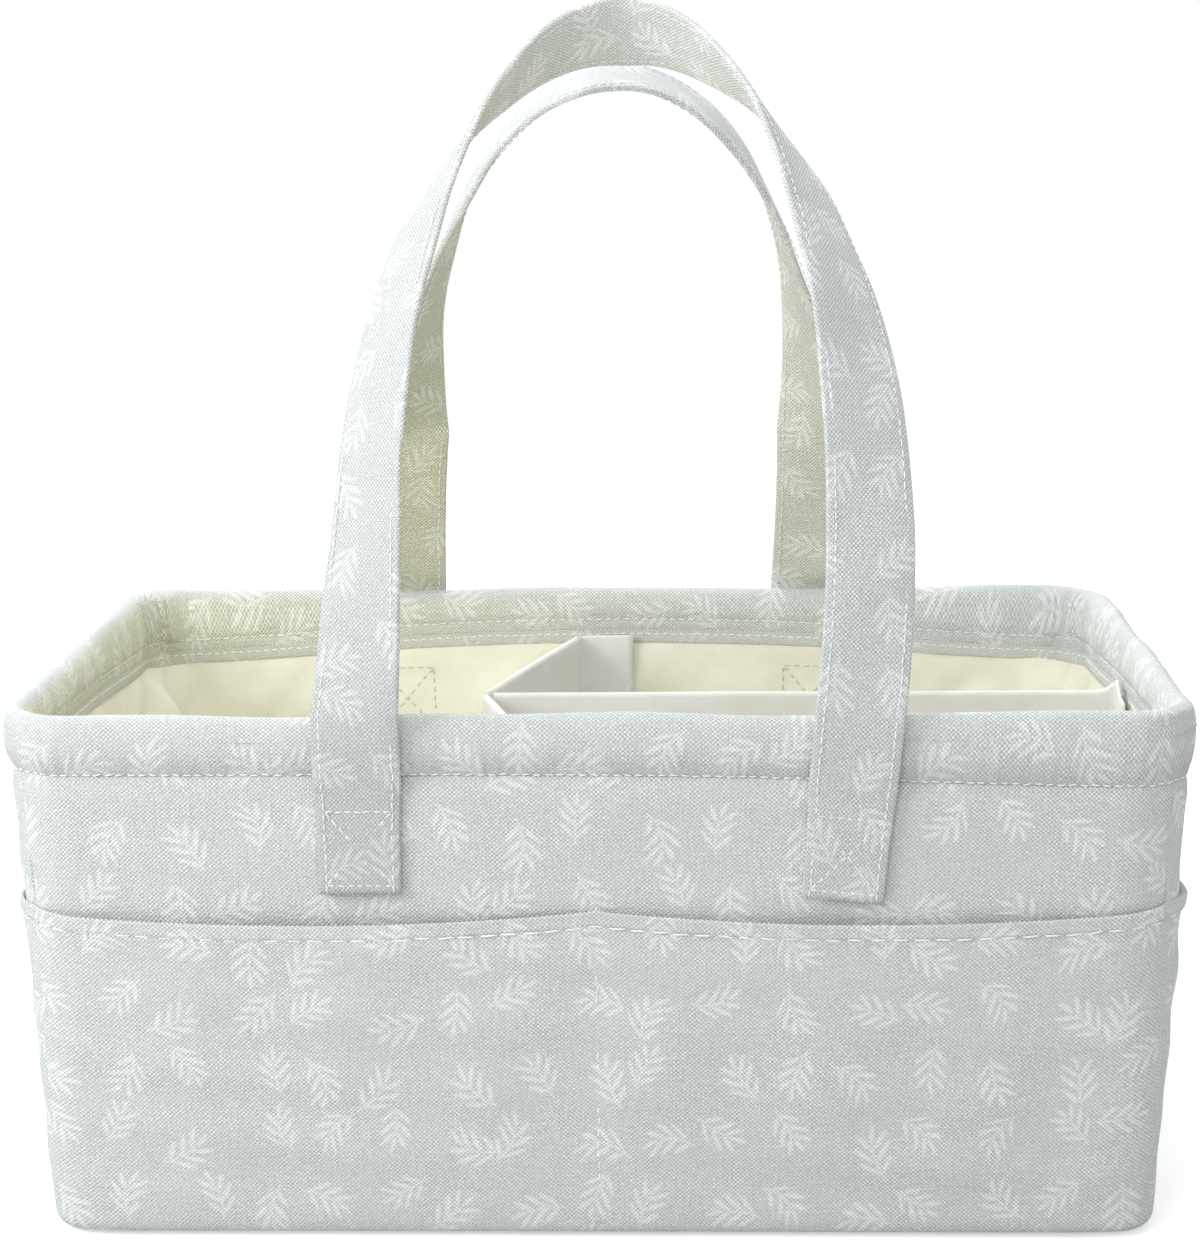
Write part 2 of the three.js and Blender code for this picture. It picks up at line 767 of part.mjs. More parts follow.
function buildDivider() {
  addPart('divider_long_cover', coverGeometry(longOutline, longBoardOutline), colours.divider);
  addPart('divider_long_board', boardGeometry(longBoardOutline), colours.board);
  const wingMiddle = wingPoint(wingReach(flapFaceY(dividerTop), 0), 0).x + flapWidth / 2;
  const wings = [
    { name: 'front', turns: 0, mirror: -1, centre: wingMiddle },
    { name: 'back', turns: 2, mirror: 1, centre: -wingMiddle },
  ];
  for (const wing of wings) {
    const cover = coverGeometry(wingOutline, wingBoardOutline).scale(1, wing.mirror, 1);
    const board = boardGeometry(wingBoardOutline).scale(1, wing.mirror, 1);
    addPart(`${wing.name}_wing_cover`, cover, colours.divider);
    addPart(`${wing.name}_wing_board`, board, colours.board);
  }
  const flaps = [
    ...wings,
    { name: 'right', turns: 1, centre: -half - flapWidth / 2 },
  ];
  for (const flap of flaps) {
    const hook = tapeOnWall(flap.turns, flap.centre, hookInset, hookStripThickness);
    const loop = tapeOnWall(flap.turns, flap.centre, rimSkirtInset, loopPatchThickness);
    addPart(`${flap.name}_hook_strip`, hook, colours.hookTape);
    addPart(`${flap.name}_loop_patch`, loop, colours.hookTape);
  }
}

buildFloor();
buildWalls();
buildRim();
buildPockets();
buildHandles();
buildDivider();

export default model;
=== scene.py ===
"""Diaper caddy: canvas box with a padded rim, outside pockets, twisted ribbon handles,
a cream lining and a lift-out Y-shaped divider.

Sizes are in millimetres and turned into metres as each mesh is made.
+X runs along the length, -Y is the front, +Z is up, and z = 0 is the underside.
"""

import math

import bpy
import numpy as np
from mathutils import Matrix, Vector


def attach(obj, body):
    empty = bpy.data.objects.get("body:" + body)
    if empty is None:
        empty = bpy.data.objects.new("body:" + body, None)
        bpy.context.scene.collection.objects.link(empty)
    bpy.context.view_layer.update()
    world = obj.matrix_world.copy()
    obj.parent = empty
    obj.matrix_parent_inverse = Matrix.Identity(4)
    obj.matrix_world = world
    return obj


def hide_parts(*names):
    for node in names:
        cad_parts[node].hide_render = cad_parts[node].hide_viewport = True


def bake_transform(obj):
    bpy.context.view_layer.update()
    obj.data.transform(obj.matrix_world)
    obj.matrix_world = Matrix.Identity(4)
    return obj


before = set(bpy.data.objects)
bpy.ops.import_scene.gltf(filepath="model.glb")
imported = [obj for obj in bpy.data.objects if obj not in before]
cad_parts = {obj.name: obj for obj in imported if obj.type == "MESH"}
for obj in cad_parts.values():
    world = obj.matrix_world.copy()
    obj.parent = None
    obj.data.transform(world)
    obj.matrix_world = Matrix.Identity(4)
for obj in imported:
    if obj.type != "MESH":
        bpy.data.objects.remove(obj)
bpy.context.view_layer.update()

MM = 0.001
TAU = 2 * math.pi

# Body
RIM_HEIGHT = 172
RIM_WIDTH = 375
RIM_DEPTH = 228.6
BASE_WIDTH = 354
BASE_DEPTH = 214.6
CORNER_RADIUS = 24
BOTTOM_FILLET = 5.5
LOW_CORNER_SQUARENESS = 2
SEAT_GAP = 0.3
CANVAS = 1.2
WALL_TOP = 153.2

# Padded rim
ROLL_CENTRE_INSET = 3.95
ROLL_HALF_WIDTH = 4.65
ROLL_HEIGHT = 8
RIM_SEAM_HEIGHT = 153.2
RIM_QUILT_HEIGHT = 161
TAPE_SEAM_HEIGHT = 155.3
TAPE_BOTTOM = 151.8

# Pockets
POCKET_CLOTH = 1.05
POCKET_HEIGHT = 110
POCKET_BOTTOM = 1.5
POCKET_SAGS = (4, 2, 4, 2)
POCKET_STANDOFFS = (3.5, 4, 3.5, 4)
POCKET_BAY_SHAPES = (0.75, 1.6, 0.75, 1.6)
POCKET_RISE = 1.4
HEM_HEIGHT = 5

# Lining
LINING_FACE = 7.1
LINING_FLOOR = 5.6
CORNER_BULGES = (0, 0, 6, 10)
SEWN_CENTRE = 75

# How far seams sag towards a corner, and how far along the wall
OUTSIDE_SAG = (4.5, 110)
INSIDE_SAG = (7.8, 92)

# Handles
STRAP_WIDTH = 27.4
STRAP_END_WIDTH = 25.6
STRAP_THICKNESS = 2.4
STRAP_END_HEIGHT = 116
HINGE_HEIGHT = 143.6
STRAP_RIM_OUT = 118
STRAP_SEAM_MARGIN = 2.6
STANDOFF_POWER = 1.3
HANDLE_GAP = 1.6
PATH_SAMPLES = 260
STRAP_STEPS = 330
HANDLES = {
    "front": dict(facing=-1, span=77.3, rise=207.4, power=3.08, sway_rim=4.2, sway_apex=8.8, sway_power=5,
                  lean_power=2.6, tilts={-1: 0, 1: math.radians(4.8)}, twist=math.radians(146), twist_start=-0.1,
                  twist_powers={-1: 1.78, 1: 1.92}, early_twists={-1: math.radians(18), 1: 0},
                  early_reach=0.65, early_power=0.6),
    "back": dict(facing=1, span=76.4, rise=192.7, power=2.61, sway_rim=-2.4, sway_apex=5.5, sway_power=1.3,
                 lean_power=1.0, tilts={-1: 0, 1: 0}, twist=math.radians(107.4), twist_start=0.291,
                 twist_powers={-1: 0.383, 1: 0.672}, early_twists={-1: math.radians(6.4), 1: math.radians(19.2)},
                 early_reach=1, early_power=1),
}

# Divider
DIVIDER_BOTTOM = 5.9
DIVIDER_TOP = 155
DIVIDER_THICKNESS = 3
FOLD_X = -40
WING_ANGLE = math.radians(74.5)
FLAP_WIDTH = 20
FLAP_THICKNESS = 1.2
FLAP_FACE_INSET = 11.1

# Maps, and where the cloths start on them, so that the print differs from one to the next
FLAT_MAP = "Flat"
# The second map holds painted light: a warm tint that stands in for light bounced off the lining, and painted shade,
# where negative values paint light.
PAINTED_LIGHT_MAP = "PaintedLight"
PANEL_MAP_STEP = 300
BASE_MAP_START = 900
RIM_MAP_START = 2000
POCKET_MAP_START = 4000
POCKET_MAP_STEP = 320
LINING_MAP_STEP = 500


# Meshes

def signed_volume(points, faces):
    """Six times the volume inside a closed mesh, negative where its faces point in."""
    total = 0.0
    for size in {len(face) for face in faces}:
        corners = points[np.array([face for face in faces if len(face) == size])]
        for i in range(1, size - 1):
            total += np.einsum("ij,ij->", corners[:, 0], np.cross(corners[:, i], corners[:, i + 1]))
    return total


def linked(name, data):
    item = bpy.data.objects.new(name, data)
    bpy.context.scene.collection.objects.link(item)
    return item


def mesh_object(name, points, faces, maps=None):
    """An object from points in millimetres, with one entry of maps for each face corner."""
    mesh = bpy.data.meshes.new(name)
    mesh.from_pydata((points * MM).tolist(), [], faces)
    if maps is not None:
        for map_name, first in ((FLAT_MAP, 0), (PAINTED_LIGHT_MAP, 2))[:maps.shape[1] // 2]:
            values = np.asarray(maps[:, first:first + 2], np.float32)
            mesh.uv_layers.new(name=map_name).uv.foreach_set("vector", values.ravel())
    mesh.polygons.foreach_set("use_smooth", [True] * len(mesh.polygons))
    mesh.update()
    return linked(name, mesh)


def skin(name, grid, maps, wrap_rows=True, wrap_columns=False):
    """A closed mesh over a grid of points (rows, columns, 3). Where the grid doesn't wrap, its first
    and last row or column are capped. Where it wraps, the maps have one row or column more. They hold
    the flat cloth's two numbers, and then painted warm bounce light and painted shade if there are four."""
    rows, columns = grid.shape[:2]
    steps = np.arange(rows - (not wrap_rows)), np.arange(columns - (not wrap_columns))
    r, c = (part.ravel() for part in np.meshgrid(*steps, indexing="ij"))
    rr = np.stack([r, r, r + 1, r + 1], 1)
    cc = np.stack([c, c + 1, c + 1, c], 1)
    faces = ((rr % rows) * columns + (cc % columns)).tolist()
    corners = [maps[rr, cc].reshape(-1, maps.shape[-1])]
    caps = []
    index = np.arange(rows * columns).reshape(rows, columns)
    if not wrap_columns:
        caps += [index[:, 0].tolist(), index[::-1, -1].tolist()]
    if not wrap_rows:
        caps += [index[0, ::-1].tolist(), index[-1].tolist()]
    corners += [maps[np.array(loop) // columns, np.array(loop) % columns] for loop in caps]
    faces += caps
    corners = np.concatenate(corners)
    points = grid.reshape(-1, 3)
    if signed_volume(points, faces) < 0:
        ends = np.cumsum([len(face) for face in faces])
        order = [np.arange(end - 1, end - 1 - len(face), -1) for end, face in zip(ends, faces)]
        faces = [face[::-1] for face in faces]
        corners = corners[np.concatenate(order)]
    return mesh_object(name, points, faces, corners)


def waves(x, y, seed, count=7, spread=1.0):
    """A smooth random field of about unit height from a sum of sines in many directions."""
    rng = np.random.default_rng(seed)
    total = np.zeros(np.broadcast(x, y).shape)
    for _ in range(count):
        angle = rng.uniform(-math.pi, math.pi) * spread
        size = TAU * rng.uniform(0.6, 1.6)
        total = total + np.sin(size * (x * math.cos(angle) + y * math.sin(angle)) + rng.uniform(0, TAU))
    return total / math.sqrt(count / 2)


def loop_waves(share, seed, lowest, highest, count=10):
    """A smooth random line that closes on itself as share goes from 0 to 1."""
    rng = np.random.default_rng(seed)
    total = np.zeros_like(share)
    for turns in rng.integers(lowest, highest, count):
        total = total + np.sin(TAU * turns * share + rng.uniform(0, TAU))
    return total / math.sqrt(count / 2)


def bump(x, centre, width):
    return np.exp(-((x - centre) / width) ** 2)


def step(x, low, high):
    t = np.clip((x - low) / (high - low), 0, 1)
    return t * t * (3 - 2 * t)


def end_bumps(x, length, inset, width):
    """A bump near each end of a length."""
    return bump(x, inset, width) + bump(x, length - inset, width)


def unit(vectors):
    return vectors / np.linalg.norm(vectors, axis=-1, keepdims=True)


def run_lengths(path):
    """The distance run along a path at each of its points."""
    return np.concatenate([[0], np.cumsum(np.linalg.norm(np.diff(path, axis=0), axis=1))])


def follow(path, lengths, at):
    """Points, or directions, at given distances along a path."""
    return np.stack([np.interp(at, lengths, column) for column in path.T], -1)


def closed(grid, axis):
    """A grid with its first row or column again at the end, as a wrapped map needs."""
    return np.concatenate([grid, np.take(grid, [0], axis)], axis)


def map_grid(across, up):
    return np.stack(np.meshgrid(across, up), -1)


# Wall outline

def half_size(turns, z):
    """Half the body's width for the front and back, half its depth for the right and left."""
    base, rim = ((BASE_WIDTH, RIM_WIDTH), (BASE_DEPTH, RIM_DEPTH))[turns % 2]
    return (base + (rim - base) * z / RIM_HEIGHT) / 2


def bottom_inset(z):
    below = np.clip(BOTTOM_FILLET - z, 0, BOTTOM_FILLET)
    return BOTTOM_FILLET - np.sqrt(BOTTOM_FILLET ** 2 - below ** 2)


HALF_CORNER = CORNER_RADIUS * math.pi / 4
REFERENCE_HEIGHT = 100


def side_flat(turns):
    return 2 * (half_size(turns, REFERENCE_HEIGHT) - CORNER_RADIUS)


def side_length(turns):
    return side_flat(turns) + 2 * HALF_CORNER


def station_at(turns, along):
    """What a distance along a side, from the middle of its first corner, comes to as a station from 0
    to 3, and the way that the wall faces there, before it is turned to its own side."""
    flat = side_flat(turns)
    station = (np.minimum(along, HALF_CORNER) / HALF_CORNER
               + np.clip(along - HALF_CORNER, 0, flat) / flat
               + np.maximum(along - HALF_CORNER - flat, 0) / HALF_CORNER)
    turned = np.maximum(0, station - 2) - np.maximum(0, 1 - station)
    return station, turned * math.pi / 4 - math.pi / 2


def wall_point(turns, along, z, inset):
    """Points of one wall, moved in from the canvas face by inset. turns: 0 front, 1 right, 2 back, 3 left."""
    along, z, inset = np.broadcast_arrays(*(np.asarray(value, float) for value in (along, z, inset)))
    station, angle = station_at(turns, along)
    flat, spread = (half_size(side, z) - CORNER_RADIUS for side in (turns, turns + 1))
    outside = step(5 - inset + bottom_inset(z), 0, 3)
    power = 2 + LOW_CORNER_SQUARENESS * step(140 - z, 0, 140) * outside
    rounding = np.abs(np.cos(angle)) ** power + np.abs(np.sin(angle)) ** power
    radius = (CORNER_RADIUS - inset) * rounding ** (-1 / power)
    x = -flat + 2 * flat * np.clip(station - 1, 0, 1) + radius * np.cos(angle)
    y = -spread + radius * np.sin(angle)
    c, s = math.cos(turns * math.pi / 2), math.sin(turns * math.pi / 2)
    return np.stack([x * c - y * s, x * s + y * c, z], -1)


def wall_normal(turns, along):
    angle = station_at(turns, np.asarray(along, float))[1] + turns * math.pi / 2
    return np.stack([np.cos(angle), np.sin(angle), np.zeros_like(angle)], -1)


SIDES = ["front", "right", "back", "left"]
SIDE_STARTS = np.cumsum([0] + [side_length(t) for t in range(4)])
PERIMETER = SIDE_STARTS[4]


def round_the_ring(share, side_values, *others):
    """Gathers what side_values gives for each side, share from 0 to 1 along the outline."""
    share, *others = np.broadcast_arrays(*(np.asarray(value, float) for value in (share, *others)))
    distance = (share % 1) * PERIMETER
    out = np.zeros(distance.shape + (3,))
    for turns in range(4):
        here = (distance >= SIDE_STARTS[turns]) & (distance <= SIDE_STARTS[turns + 1])
        if here.any():
            out[here] = side_values(turns, distance[here] - SIDE_STARTS[turns], *(v[here] for v in others))
    return out


def ring_points(share, z, inset):
    return round_the_ring(share, wall_point, z, inset)


def side_along(turns, step_flat, step_corner, gap=0.02):
    """Distances along a side, closer together in its corners, with one more by the gap at each end."""
    length = side_length(turns)
    corner = np.linspace(gap, HALF_CORNER, max(2, round(HALF_CORNER / step_corner)) + 1)
    middle = np.linspace(HALF_CORNER, length - HALF_CORNER, round(side_flat(turns) / step_flat) + 1)
    if gap:
        corner = np.insert(corner, 1, gap + 0.15)
    return np.concatenate([corner[:-1], middle[:-1], (length - corner)[::-1]])


def ring_shares(step_flat, step_corner):
    """Shares round the outline, closer together in the corners."""
    sides = [start + side_along(turns, step_flat, step_corner, 0)[:-1] for turns, start in enumerate(SIDE_STARTS[:4])]
    return np.concatenate(sides) / PERIMETER


# Stitches

class Stitches:
    """Rows of thread, gathered into one mesh."""

    sides = 5
    wander = 0.12
    rings = ((0.0, -0.55, 0.6), (0.22, 0.35, 1.0), (0.78, 0.35, 1.0), (1.0, -0.55, 0.6))

    def __init__(self, name, radius):
        self.name, self.radius, self.points = name, radius, []

    def row(self, path, normals, pitch, length, seed, radius=None):
        """Stitches at equal steps along a path of points with outward normals."""
        rng = np.random.default_rng(seed)
        radius = radius or self.radius
        lengths = run_lengths(path)
        count = max(1, int(lengths[-1] / pitch))
        starts = (np.arange(count) + 0.5) * lengths[-1] / count - length / 2
        starts = starts + rng.uniform(-0.06, 0.06, count) * pitch
        shift = rng.normal(0, self.wander, (count, 2))
        grid = []
        for ring_index, (share, height, scale) in enumerate(self.rings):
            at = np.clip(starts + share * length, 0, lengths[-1])
            normal = unit(follow(normals, lengths, at))
            ahead, behind = (follow(path, lengths, np.clip(at + reach, 0, lengths[-1])) for reach in (0.3, -0.3))
            side = unit(np.cross(unit(ahead - behind), normal))
            drift = shift[:, 0] if ring_index < 2 else shift[:, 1]
            centre = follow(path, lengths, at) + side * drift[:, None] + normal * (height * radius)
            for k in range(self.sides):
                angle = TAU * k / self.sides
                grid.append(centre + scale * radius * (side * math.cos(angle) + normal * math.sin(angle) * 0.8))
        self.points.append(np.stack(grid, 1))

    def build(self):
        points = np.concatenate(self.points)
        total, per = points.shape[:2]
        round_once = [(k, (k + 1) % self.sides) for k in range(self.sides)]
        pattern = [[first + a, first + b, first + b + self.sides, first + a + self.sides]
                   for first in range(0, per - self.sides, self.sides) for a, b in round_once]
        pattern += [list(range(self.sides))[::-1], list(range(per - self.sides, per))]
        faces = [[base + v for v in face] for base in range(0, total * per, per) for face in pattern]
        return mesh_object(self.name, points.reshape(-1, 3), faces)


# Materials

class Nodes:
    """Short calls for building a node tree. A value is a number, a colour or another node's output."""

    def __init__(self, owner):
        owner.use_nodes = True
        self.owner = owner
        self.tree = owner.node_tree
        self.shader = self.tree.nodes.get("Principled BSDF")

    def feed(self, socket, value):
        if isinstance(value, (int, float)):
            socket.default_value = value
        elif isinstance(value, tuple):
            socket.default_value = (*value, 1)
        else:
            self.tree.links.new(value, socket)

    def node(self, kind, inputs=(), **settings):
        made = self.tree.nodes.new(kind)
        for key, value in settings.items():
            setattr(made, key, value)
        for key, value in dict(inputs).items():
            self.feed(made.inputs[key], value)
        return made

    def math(self, operation, *values, clamp=False):
        return self.node("ShaderNodeMath", enumerate(values), operation=operation, use_clamp=clamp).outputs[0]

    def add(self, a, b):
        return self.math("ADD", a, b)

    def sub(self, a, b):
        return self.math("SUBTRACT", a, b)

    def mul(self, a, b):
        return self.math("MULTIPLY", a, b)

    def mul_add(self, a, b, c, clamp=False):
        return self.math("MULTIPLY_ADD", a, b, c, clamp=clamp)

    def flat(self, map_name=FLAT_MAP):
        """The map's two numbers: millimetres along and up the flat cloth, or painted warm bounce light and painted
        shade.
        """
        return self.split(self.node("ShaderNodeUVMap", uv_map=map_name).outputs[0])

    def split(self, vector):
        return self.node("ShaderNodeSeparateXYZ", {0: vector}).outputs[:2]

    def vector(self, x, y):
        return self.node("ShaderNodeCombineXYZ", {0: x, 1: y}).outputs[0]

    def noise(self, vector, scale, detail=2.0, roughness=0.5, dimensions="2D"):
        values = {"Vector": vector, "Scale": scale, "Detail": detail, "Roughness": roughness}
        return self.node("ShaderNodeTexNoise", values, noise_dimensions=dimensions).outputs[0]

    def threads(self, u, v, along, across, scale):
        """Noise drawn out along each of a cloth's two threads."""
        return self.add(*(self.noise(self.vector(self.mul(u, a), self.mul(v, b)), scale)
                          for a, b in ((across, along), (along, across))))

    def ramp(self, value, low, high, out_low=0.0, out_high=1.0, kind="SMOOTHSTEP"):
        values = {"Value": value, "From Min": low, "From Max": high, "To Min": out_low, "To Max": out_high}
        return self.node("ShaderNodeMapRange", values, interpolation_type=kind).outputs[0]

    def mix(self, share, a, b, blend="MIX"):
        return self.node("ShaderNodeMix", {0: share, 6: a, 7: b}, data_type="RGBA", blend_type=blend).outputs[2]

    def surface(self, colour, roughness, **values):
        values = {"Base Color": colour, "Roughness": roughness, **values}
        for key, value in values.items():
            self.feed(self.shader.inputs[key.replace("_", " ")], value)

    def bump(self, height, strength, distance):
        values = {"Strength": strength, "Distance": distance, "Height": height}
        self.feed(self.shader.inputs["Normal"], self.node("ShaderNodeBump", values).outputs[0])


def srgb(r, g, b):
    """A colour written as 0 to 255 on screen, in linear light."""
    return tuple(((v / 255 + 0.055) / 1.055) ** 2.4 if v > 10.3 else v / 255 / 12.92 for v in (r, g, b))


def scaled(colour, factor):
    return tuple(min(1.0, value * factor) for value in srgb(*colour))


WEAVE_ACROSS = 1.46
WEAVE_UP = 1.36
TICK_WIDTH_SHARE = 0.36
TICK_HEIGHT_SHARE = 0.44
SPRIG_SPACING = 21.5
# Painted light: the canvas and ink colours where warm light bounced off the lining and shade are painted in.
PAINTED_BOUNCE_CANVAS = (206, 207, 186)
INK = (243, 245, 246)
PAINTED_BOUNCE_INK = (238, 238, 228)


def sprig_mask(n, u, v):
    """A scattered sprig: a stem, a tip leaf and two pairs of side leaves, turned at random."""
    place = n.vector(n.math("DIVIDE", u, SPRIG_SPACING), n.math("DIVIDE", v, SPRIG_SPACING))
    cells = n.node("ShaderNodeTexVoronoi", {"Vector": place, "Scale": 1, "Randomness": 0.5},
                   voronoi_dimensions="2D", feature="F1")
    offset = n.node("ShaderNodeVectorMath", {0: place, 1: cells.outputs["Position"]}, operation="SUBTRACT")
    chances = n.node("ShaderNodeSeparateColor", {0: cells.outputs["Color"]}).outputs
    values = {"Vector": offset.outputs[0], "Angle": n.mul(chances[0], TAU)}
    turn = n.node("ShaderNodeVectorRotate", values, rotation_type="Z_AXIS")
    size = n.mul_add(chances[1], 2.5, SPRIG_SPACING * 0.79)
    bend = n.mul_add(chances[2], 0.12, -0.06)
    x, y = (n.mul(part, size) for part in n.split(turn.outputs[0]))
    side = n.math("ABSOLUTE", n.mul_add(n.mul(y, y), bend, x))

    def leaf(start, end, width):
        """How deep a point lies in a leaf between two points, from its middle line outwards."""
        dx, dy = end[0] - start[0], end[1] - start[1]
        length = math.hypot(dx, dy)
        px = n.sub(side, start[0])
        py = n.sub(y, start[1])
        along = n.mul_add(px, dx / length ** 2, n.mul(py, dy / length ** 2), clamp=True)
        ex = n.mul_add(along, -dx, px)
        ey = n.mul_add(along, -dy, py)
        reach = n.math("SQRT", n.add(n.mul(ex, ex), n.mul(ey, ey)))
        swell = n.mul_add(n.math("SINE", n.mul(along, math.pi)), width * 0.55, width * 0.45)
        return n.sub(swell, reach)

    deepest = leaf((0.0, -7.4), (0.0, 2.2), 0.36)
    for shape in (((0.0, 3.2), (0.0, 7.2), 0.6), ((0.45, 1.4), (3.6, 5.3), 0.62),
                  ((0.45, -2.1), (4.4, 2.2), 0.66), ((0.45, -5.6), (4.1, -1.7), 0.58)):
        deepest = n.math("MAXIMUM", deepest, leaf(*shape))
    return deepest


def weave_ticks(n, u, v, fine):
    """Threads of a plain weave where they come to the top: staggered ticks, each of its own strength."""
    drift = n.noise(n.vector(v, u), 0.7, 2.0)
    across = n.math("DIVIDE", n.mul_add(fine, 0.5, u), WEAVE_ACROSS)
    up = n.math("DIVIDE", n.mul_add(drift, 0.5, v), WEAVE_UP)
    a, b = n.add(across, up), n.sub(across, up)
    cell_a, cell_b = n.math("ROUND", a), n.math("ROUND", b)
    chance = n.node("ShaderNodeTexWhiteNoise", {"Vector": n.vector(cell_a, cell_b)}, noise_dimensions="2D")
    da, db = n.sub(a, cell_a), n.sub(b, cell_b)
    dx = n.mul(n.add(da, db), 0.5 / TICK_WIDTH_SHARE)
    dy = n.mul(n.sub(da, db), 0.5 / TICK_HEIGHT_SHARE)
    reach = n.mul_add(dx, dx, n.mul(dy, dy))
    round_top = n.math("SUBTRACT", 1.0, reach, clamp=True)
    return n.mul(round_top, n.mul_add(chance.outputs["Value"], 0.45, 0.55))


def canvas_material(name, base=(207, 213, 212), low=0.62, high=1.42):
    """Plain-weave canvas with a printed sprig, with painted warm bounce light and painted shade and light from the
    second map.
    """
    n = Nodes(bpy.data.materials.new(name))
    u, v = n.flat()
    # Painted light: a warm tint for light bounced off the lining, and painted shade, where negative values paint
    # light.
    painted_bounce, shade = n.flat(PAINTED_LIGHT_MAP)
    fine = n.noise(n.vector(u, v), 0.55, 3.0, 0.6)
    tick = weave_ticks(n, u, v, fine)
    slub = n.threads(u, v, 0.22, 3.2, 0.5)
    blotch = n.noise(n.vector(u, v), 0.035, 3.0, 0.55)
    cloth = n.mix(tick, scaled(base, low), scaled(base, high))
    cloth = n.mix(n.ramp(slub, 0.75, 1.25, 0.0, 0.35), cloth, scaled(base, 1.12))
    cloth = n.mix(n.ramp(blotch, 0.35, 0.65, 0.0, 0.3), cloth, scaled(base, 0.94))
    rough_edge = n.mul_add(tick, 0.3, n.mul_add(fine, 0.6, -0.45))
    mask = n.ramp(n.add(sprig_mask(n, u, v), rough_edge), -0.6, 0.5)
    coverage = n.mul(mask, n.mul_add(tick, 0.4, 0.4))
    # Painted warm bounce light on the cloth and its ink, then painted shade and painted light as a grey multiply.
    painted_bounce_ratio = tuple(w / b for w, b in zip(srgb(*PAINTED_BOUNCE_CANVAS), srgb(*base)))
    cloth = n.mix(painted_bounce, cloth, n.mix(1.0, cloth, painted_bounce_ratio, "MULTIPLY"))
    cloth = n.mix(coverage, cloth, n.mix(painted_bounce, srgb(*INK), srgb(*PAINTED_BOUNCE_INK)))
    painted_shade_factor = n.mul_add(shade, -0.27, 1.0)
    painted_shade_grey = n.node("ShaderNodeCombineColor", {0: painted_shade_factor, 1: painted_shade_factor, 2: painted_shade_factor}).outputs[0]
    n.surface(n.mix(1.0, cloth, painted_shade_grey, "MULTIPLY"), 0.92, Sheen_Weight=0.08, Specular_IOR_Level=0.25)
    n.bump(n.mul_add(slub, 0.7, tick), 0.6, 0.0005)
    return n.owner


def cloth_material(name, base, dark, crinkle=0.6):
    """A smooth lining or divider cloth with faint threads and soft tone changes."""
    n = Nodes(bpy.data.materials.new(name))
    u, v = n.flat()
    place = n.vector(u, v)
    threads = n.threads(u, v, 0.5, 6.0, 0.6)
    cloth = n.mix(n.ramp(n.noise(place, 0.05, 4.0, 0.6), 0.3, 0.7), srgb(*base), srgb(*dark))
    cloth = n.mix(n.ramp(threads, 0.7, 1.3, 0.0, 0.25), cloth, scaled(base, 0.93))
    n.surface(cloth, 0.75, Sheen_Weight=0.05, Specular_IOR_Level=0.3)
    n.bump(n.mul_add(threads, 0.05, n.mul(n.noise(place, 0.09, 5.0, 0.55), crinkle)), 0.5, 0.0015)
    return n.owner


def solid_material(name, base, dark, scale, roughness=0.9):
    """Felt, board, thread or hook-and-loop tape: a mottled colour with a fine rough surface."""
    n = Nodes(bpy.data.materials.new(name))
    grain = n.noise(n.node("ShaderNodeTexCoord").outputs["Object"], scale, 4.0, dimensions="3D")
    n.surface(n.mix(n.ramp(grain, 0.35, 0.65), srgb(*base), srgb(*dark)), roughness)
    n.bump(grain, 0.6, 0.0003)
    return n.owner


canvas = canvas_material("canvas_print_cloth")
lining_cloth = cloth_material("lining_cloth", (242, 241, 224), (236, 234, 214))
divider_cloth = cloth_material("divider_cloth", (231, 232, 228), (225, 225, 219), crinkle=0.3)
tape_cloth = canvas_material("binding_tape_cloth", base=(218, 221, 218), low=0.86, high=1.12)
thread = solid_material("thread", (250, 250, 248), (236, 238, 237), 1500.0, 0.8)
lining_thread = solid_material("lining_thread", (232, 226, 196), (214, 206, 172), 1500.0, 0.8)
felt = solid_material("felt", (240, 239, 232), (226, 224, 214), 500.0)
board = solid_material("stiffener_board", (186, 170, 140), (172, 156, 126), 700.0)
fastening_tape = solid_material("fastening_tape", (222, 222, 214), (206, 206, 197), 1600.0)


def finish_piece(item, nodes, material=canvas, body="root"):
    item.data.materials.append(material)
    if body:
        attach(item, body)
    if nodes:
        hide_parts(*nodes)
    return item


def with_painted_light(flat_map, painted_bounce=0.0, shade=0.0):
    """The flat cloth's map with its painted warm bounce light and painted shade."""
    tone = [np.broadcast_to(value, flat_map.shape[:2]) for value in (painted_bounce, shade)]
    return np.concatenate([flat_map, np.stack(tone, -1)], -1)


# Seams near the corners, by the way round from the front's left corner

def near_corners(position, corners, amount, reach):
    near = np.zeros_like(position)
    for start in corners:
        offset = np.abs((position - start + PERIMETER / 2) % PERIMETER - PERIMETER / 2)
        near = np.maximum(near, amount * bump(offset, 0, reach))
    return near


def outside_sag(position):
    return near_corners(position, SIDE_STARTS[1:2], *OUTSIDE_SAG)


def inside_sag(position):
    return near_corners(position, SIDE_STARTS[2:4], *INSIDE_SAG)


def seam_depth(position):
    """The dip under the band is shallower round the right front corner."""
    return 1 - near_corners(position, SIDE_STARTS[1:2], 0.7, 18)


# Outer panels

def wall_grid(turns, along, z, faces, map_start):
    """The points and map of one wall's cloth between a front and a back face, given as insets."""
    front, back = (wall_point(turns, along, z, inset) for inset in faces)
    flat_map = np.stack([np.concatenate([values, values[::-1]]) for values in (along + map_start, z)], -1)
    return np.concatenate([front, back[::-1]]), closed(flat_map, 0)


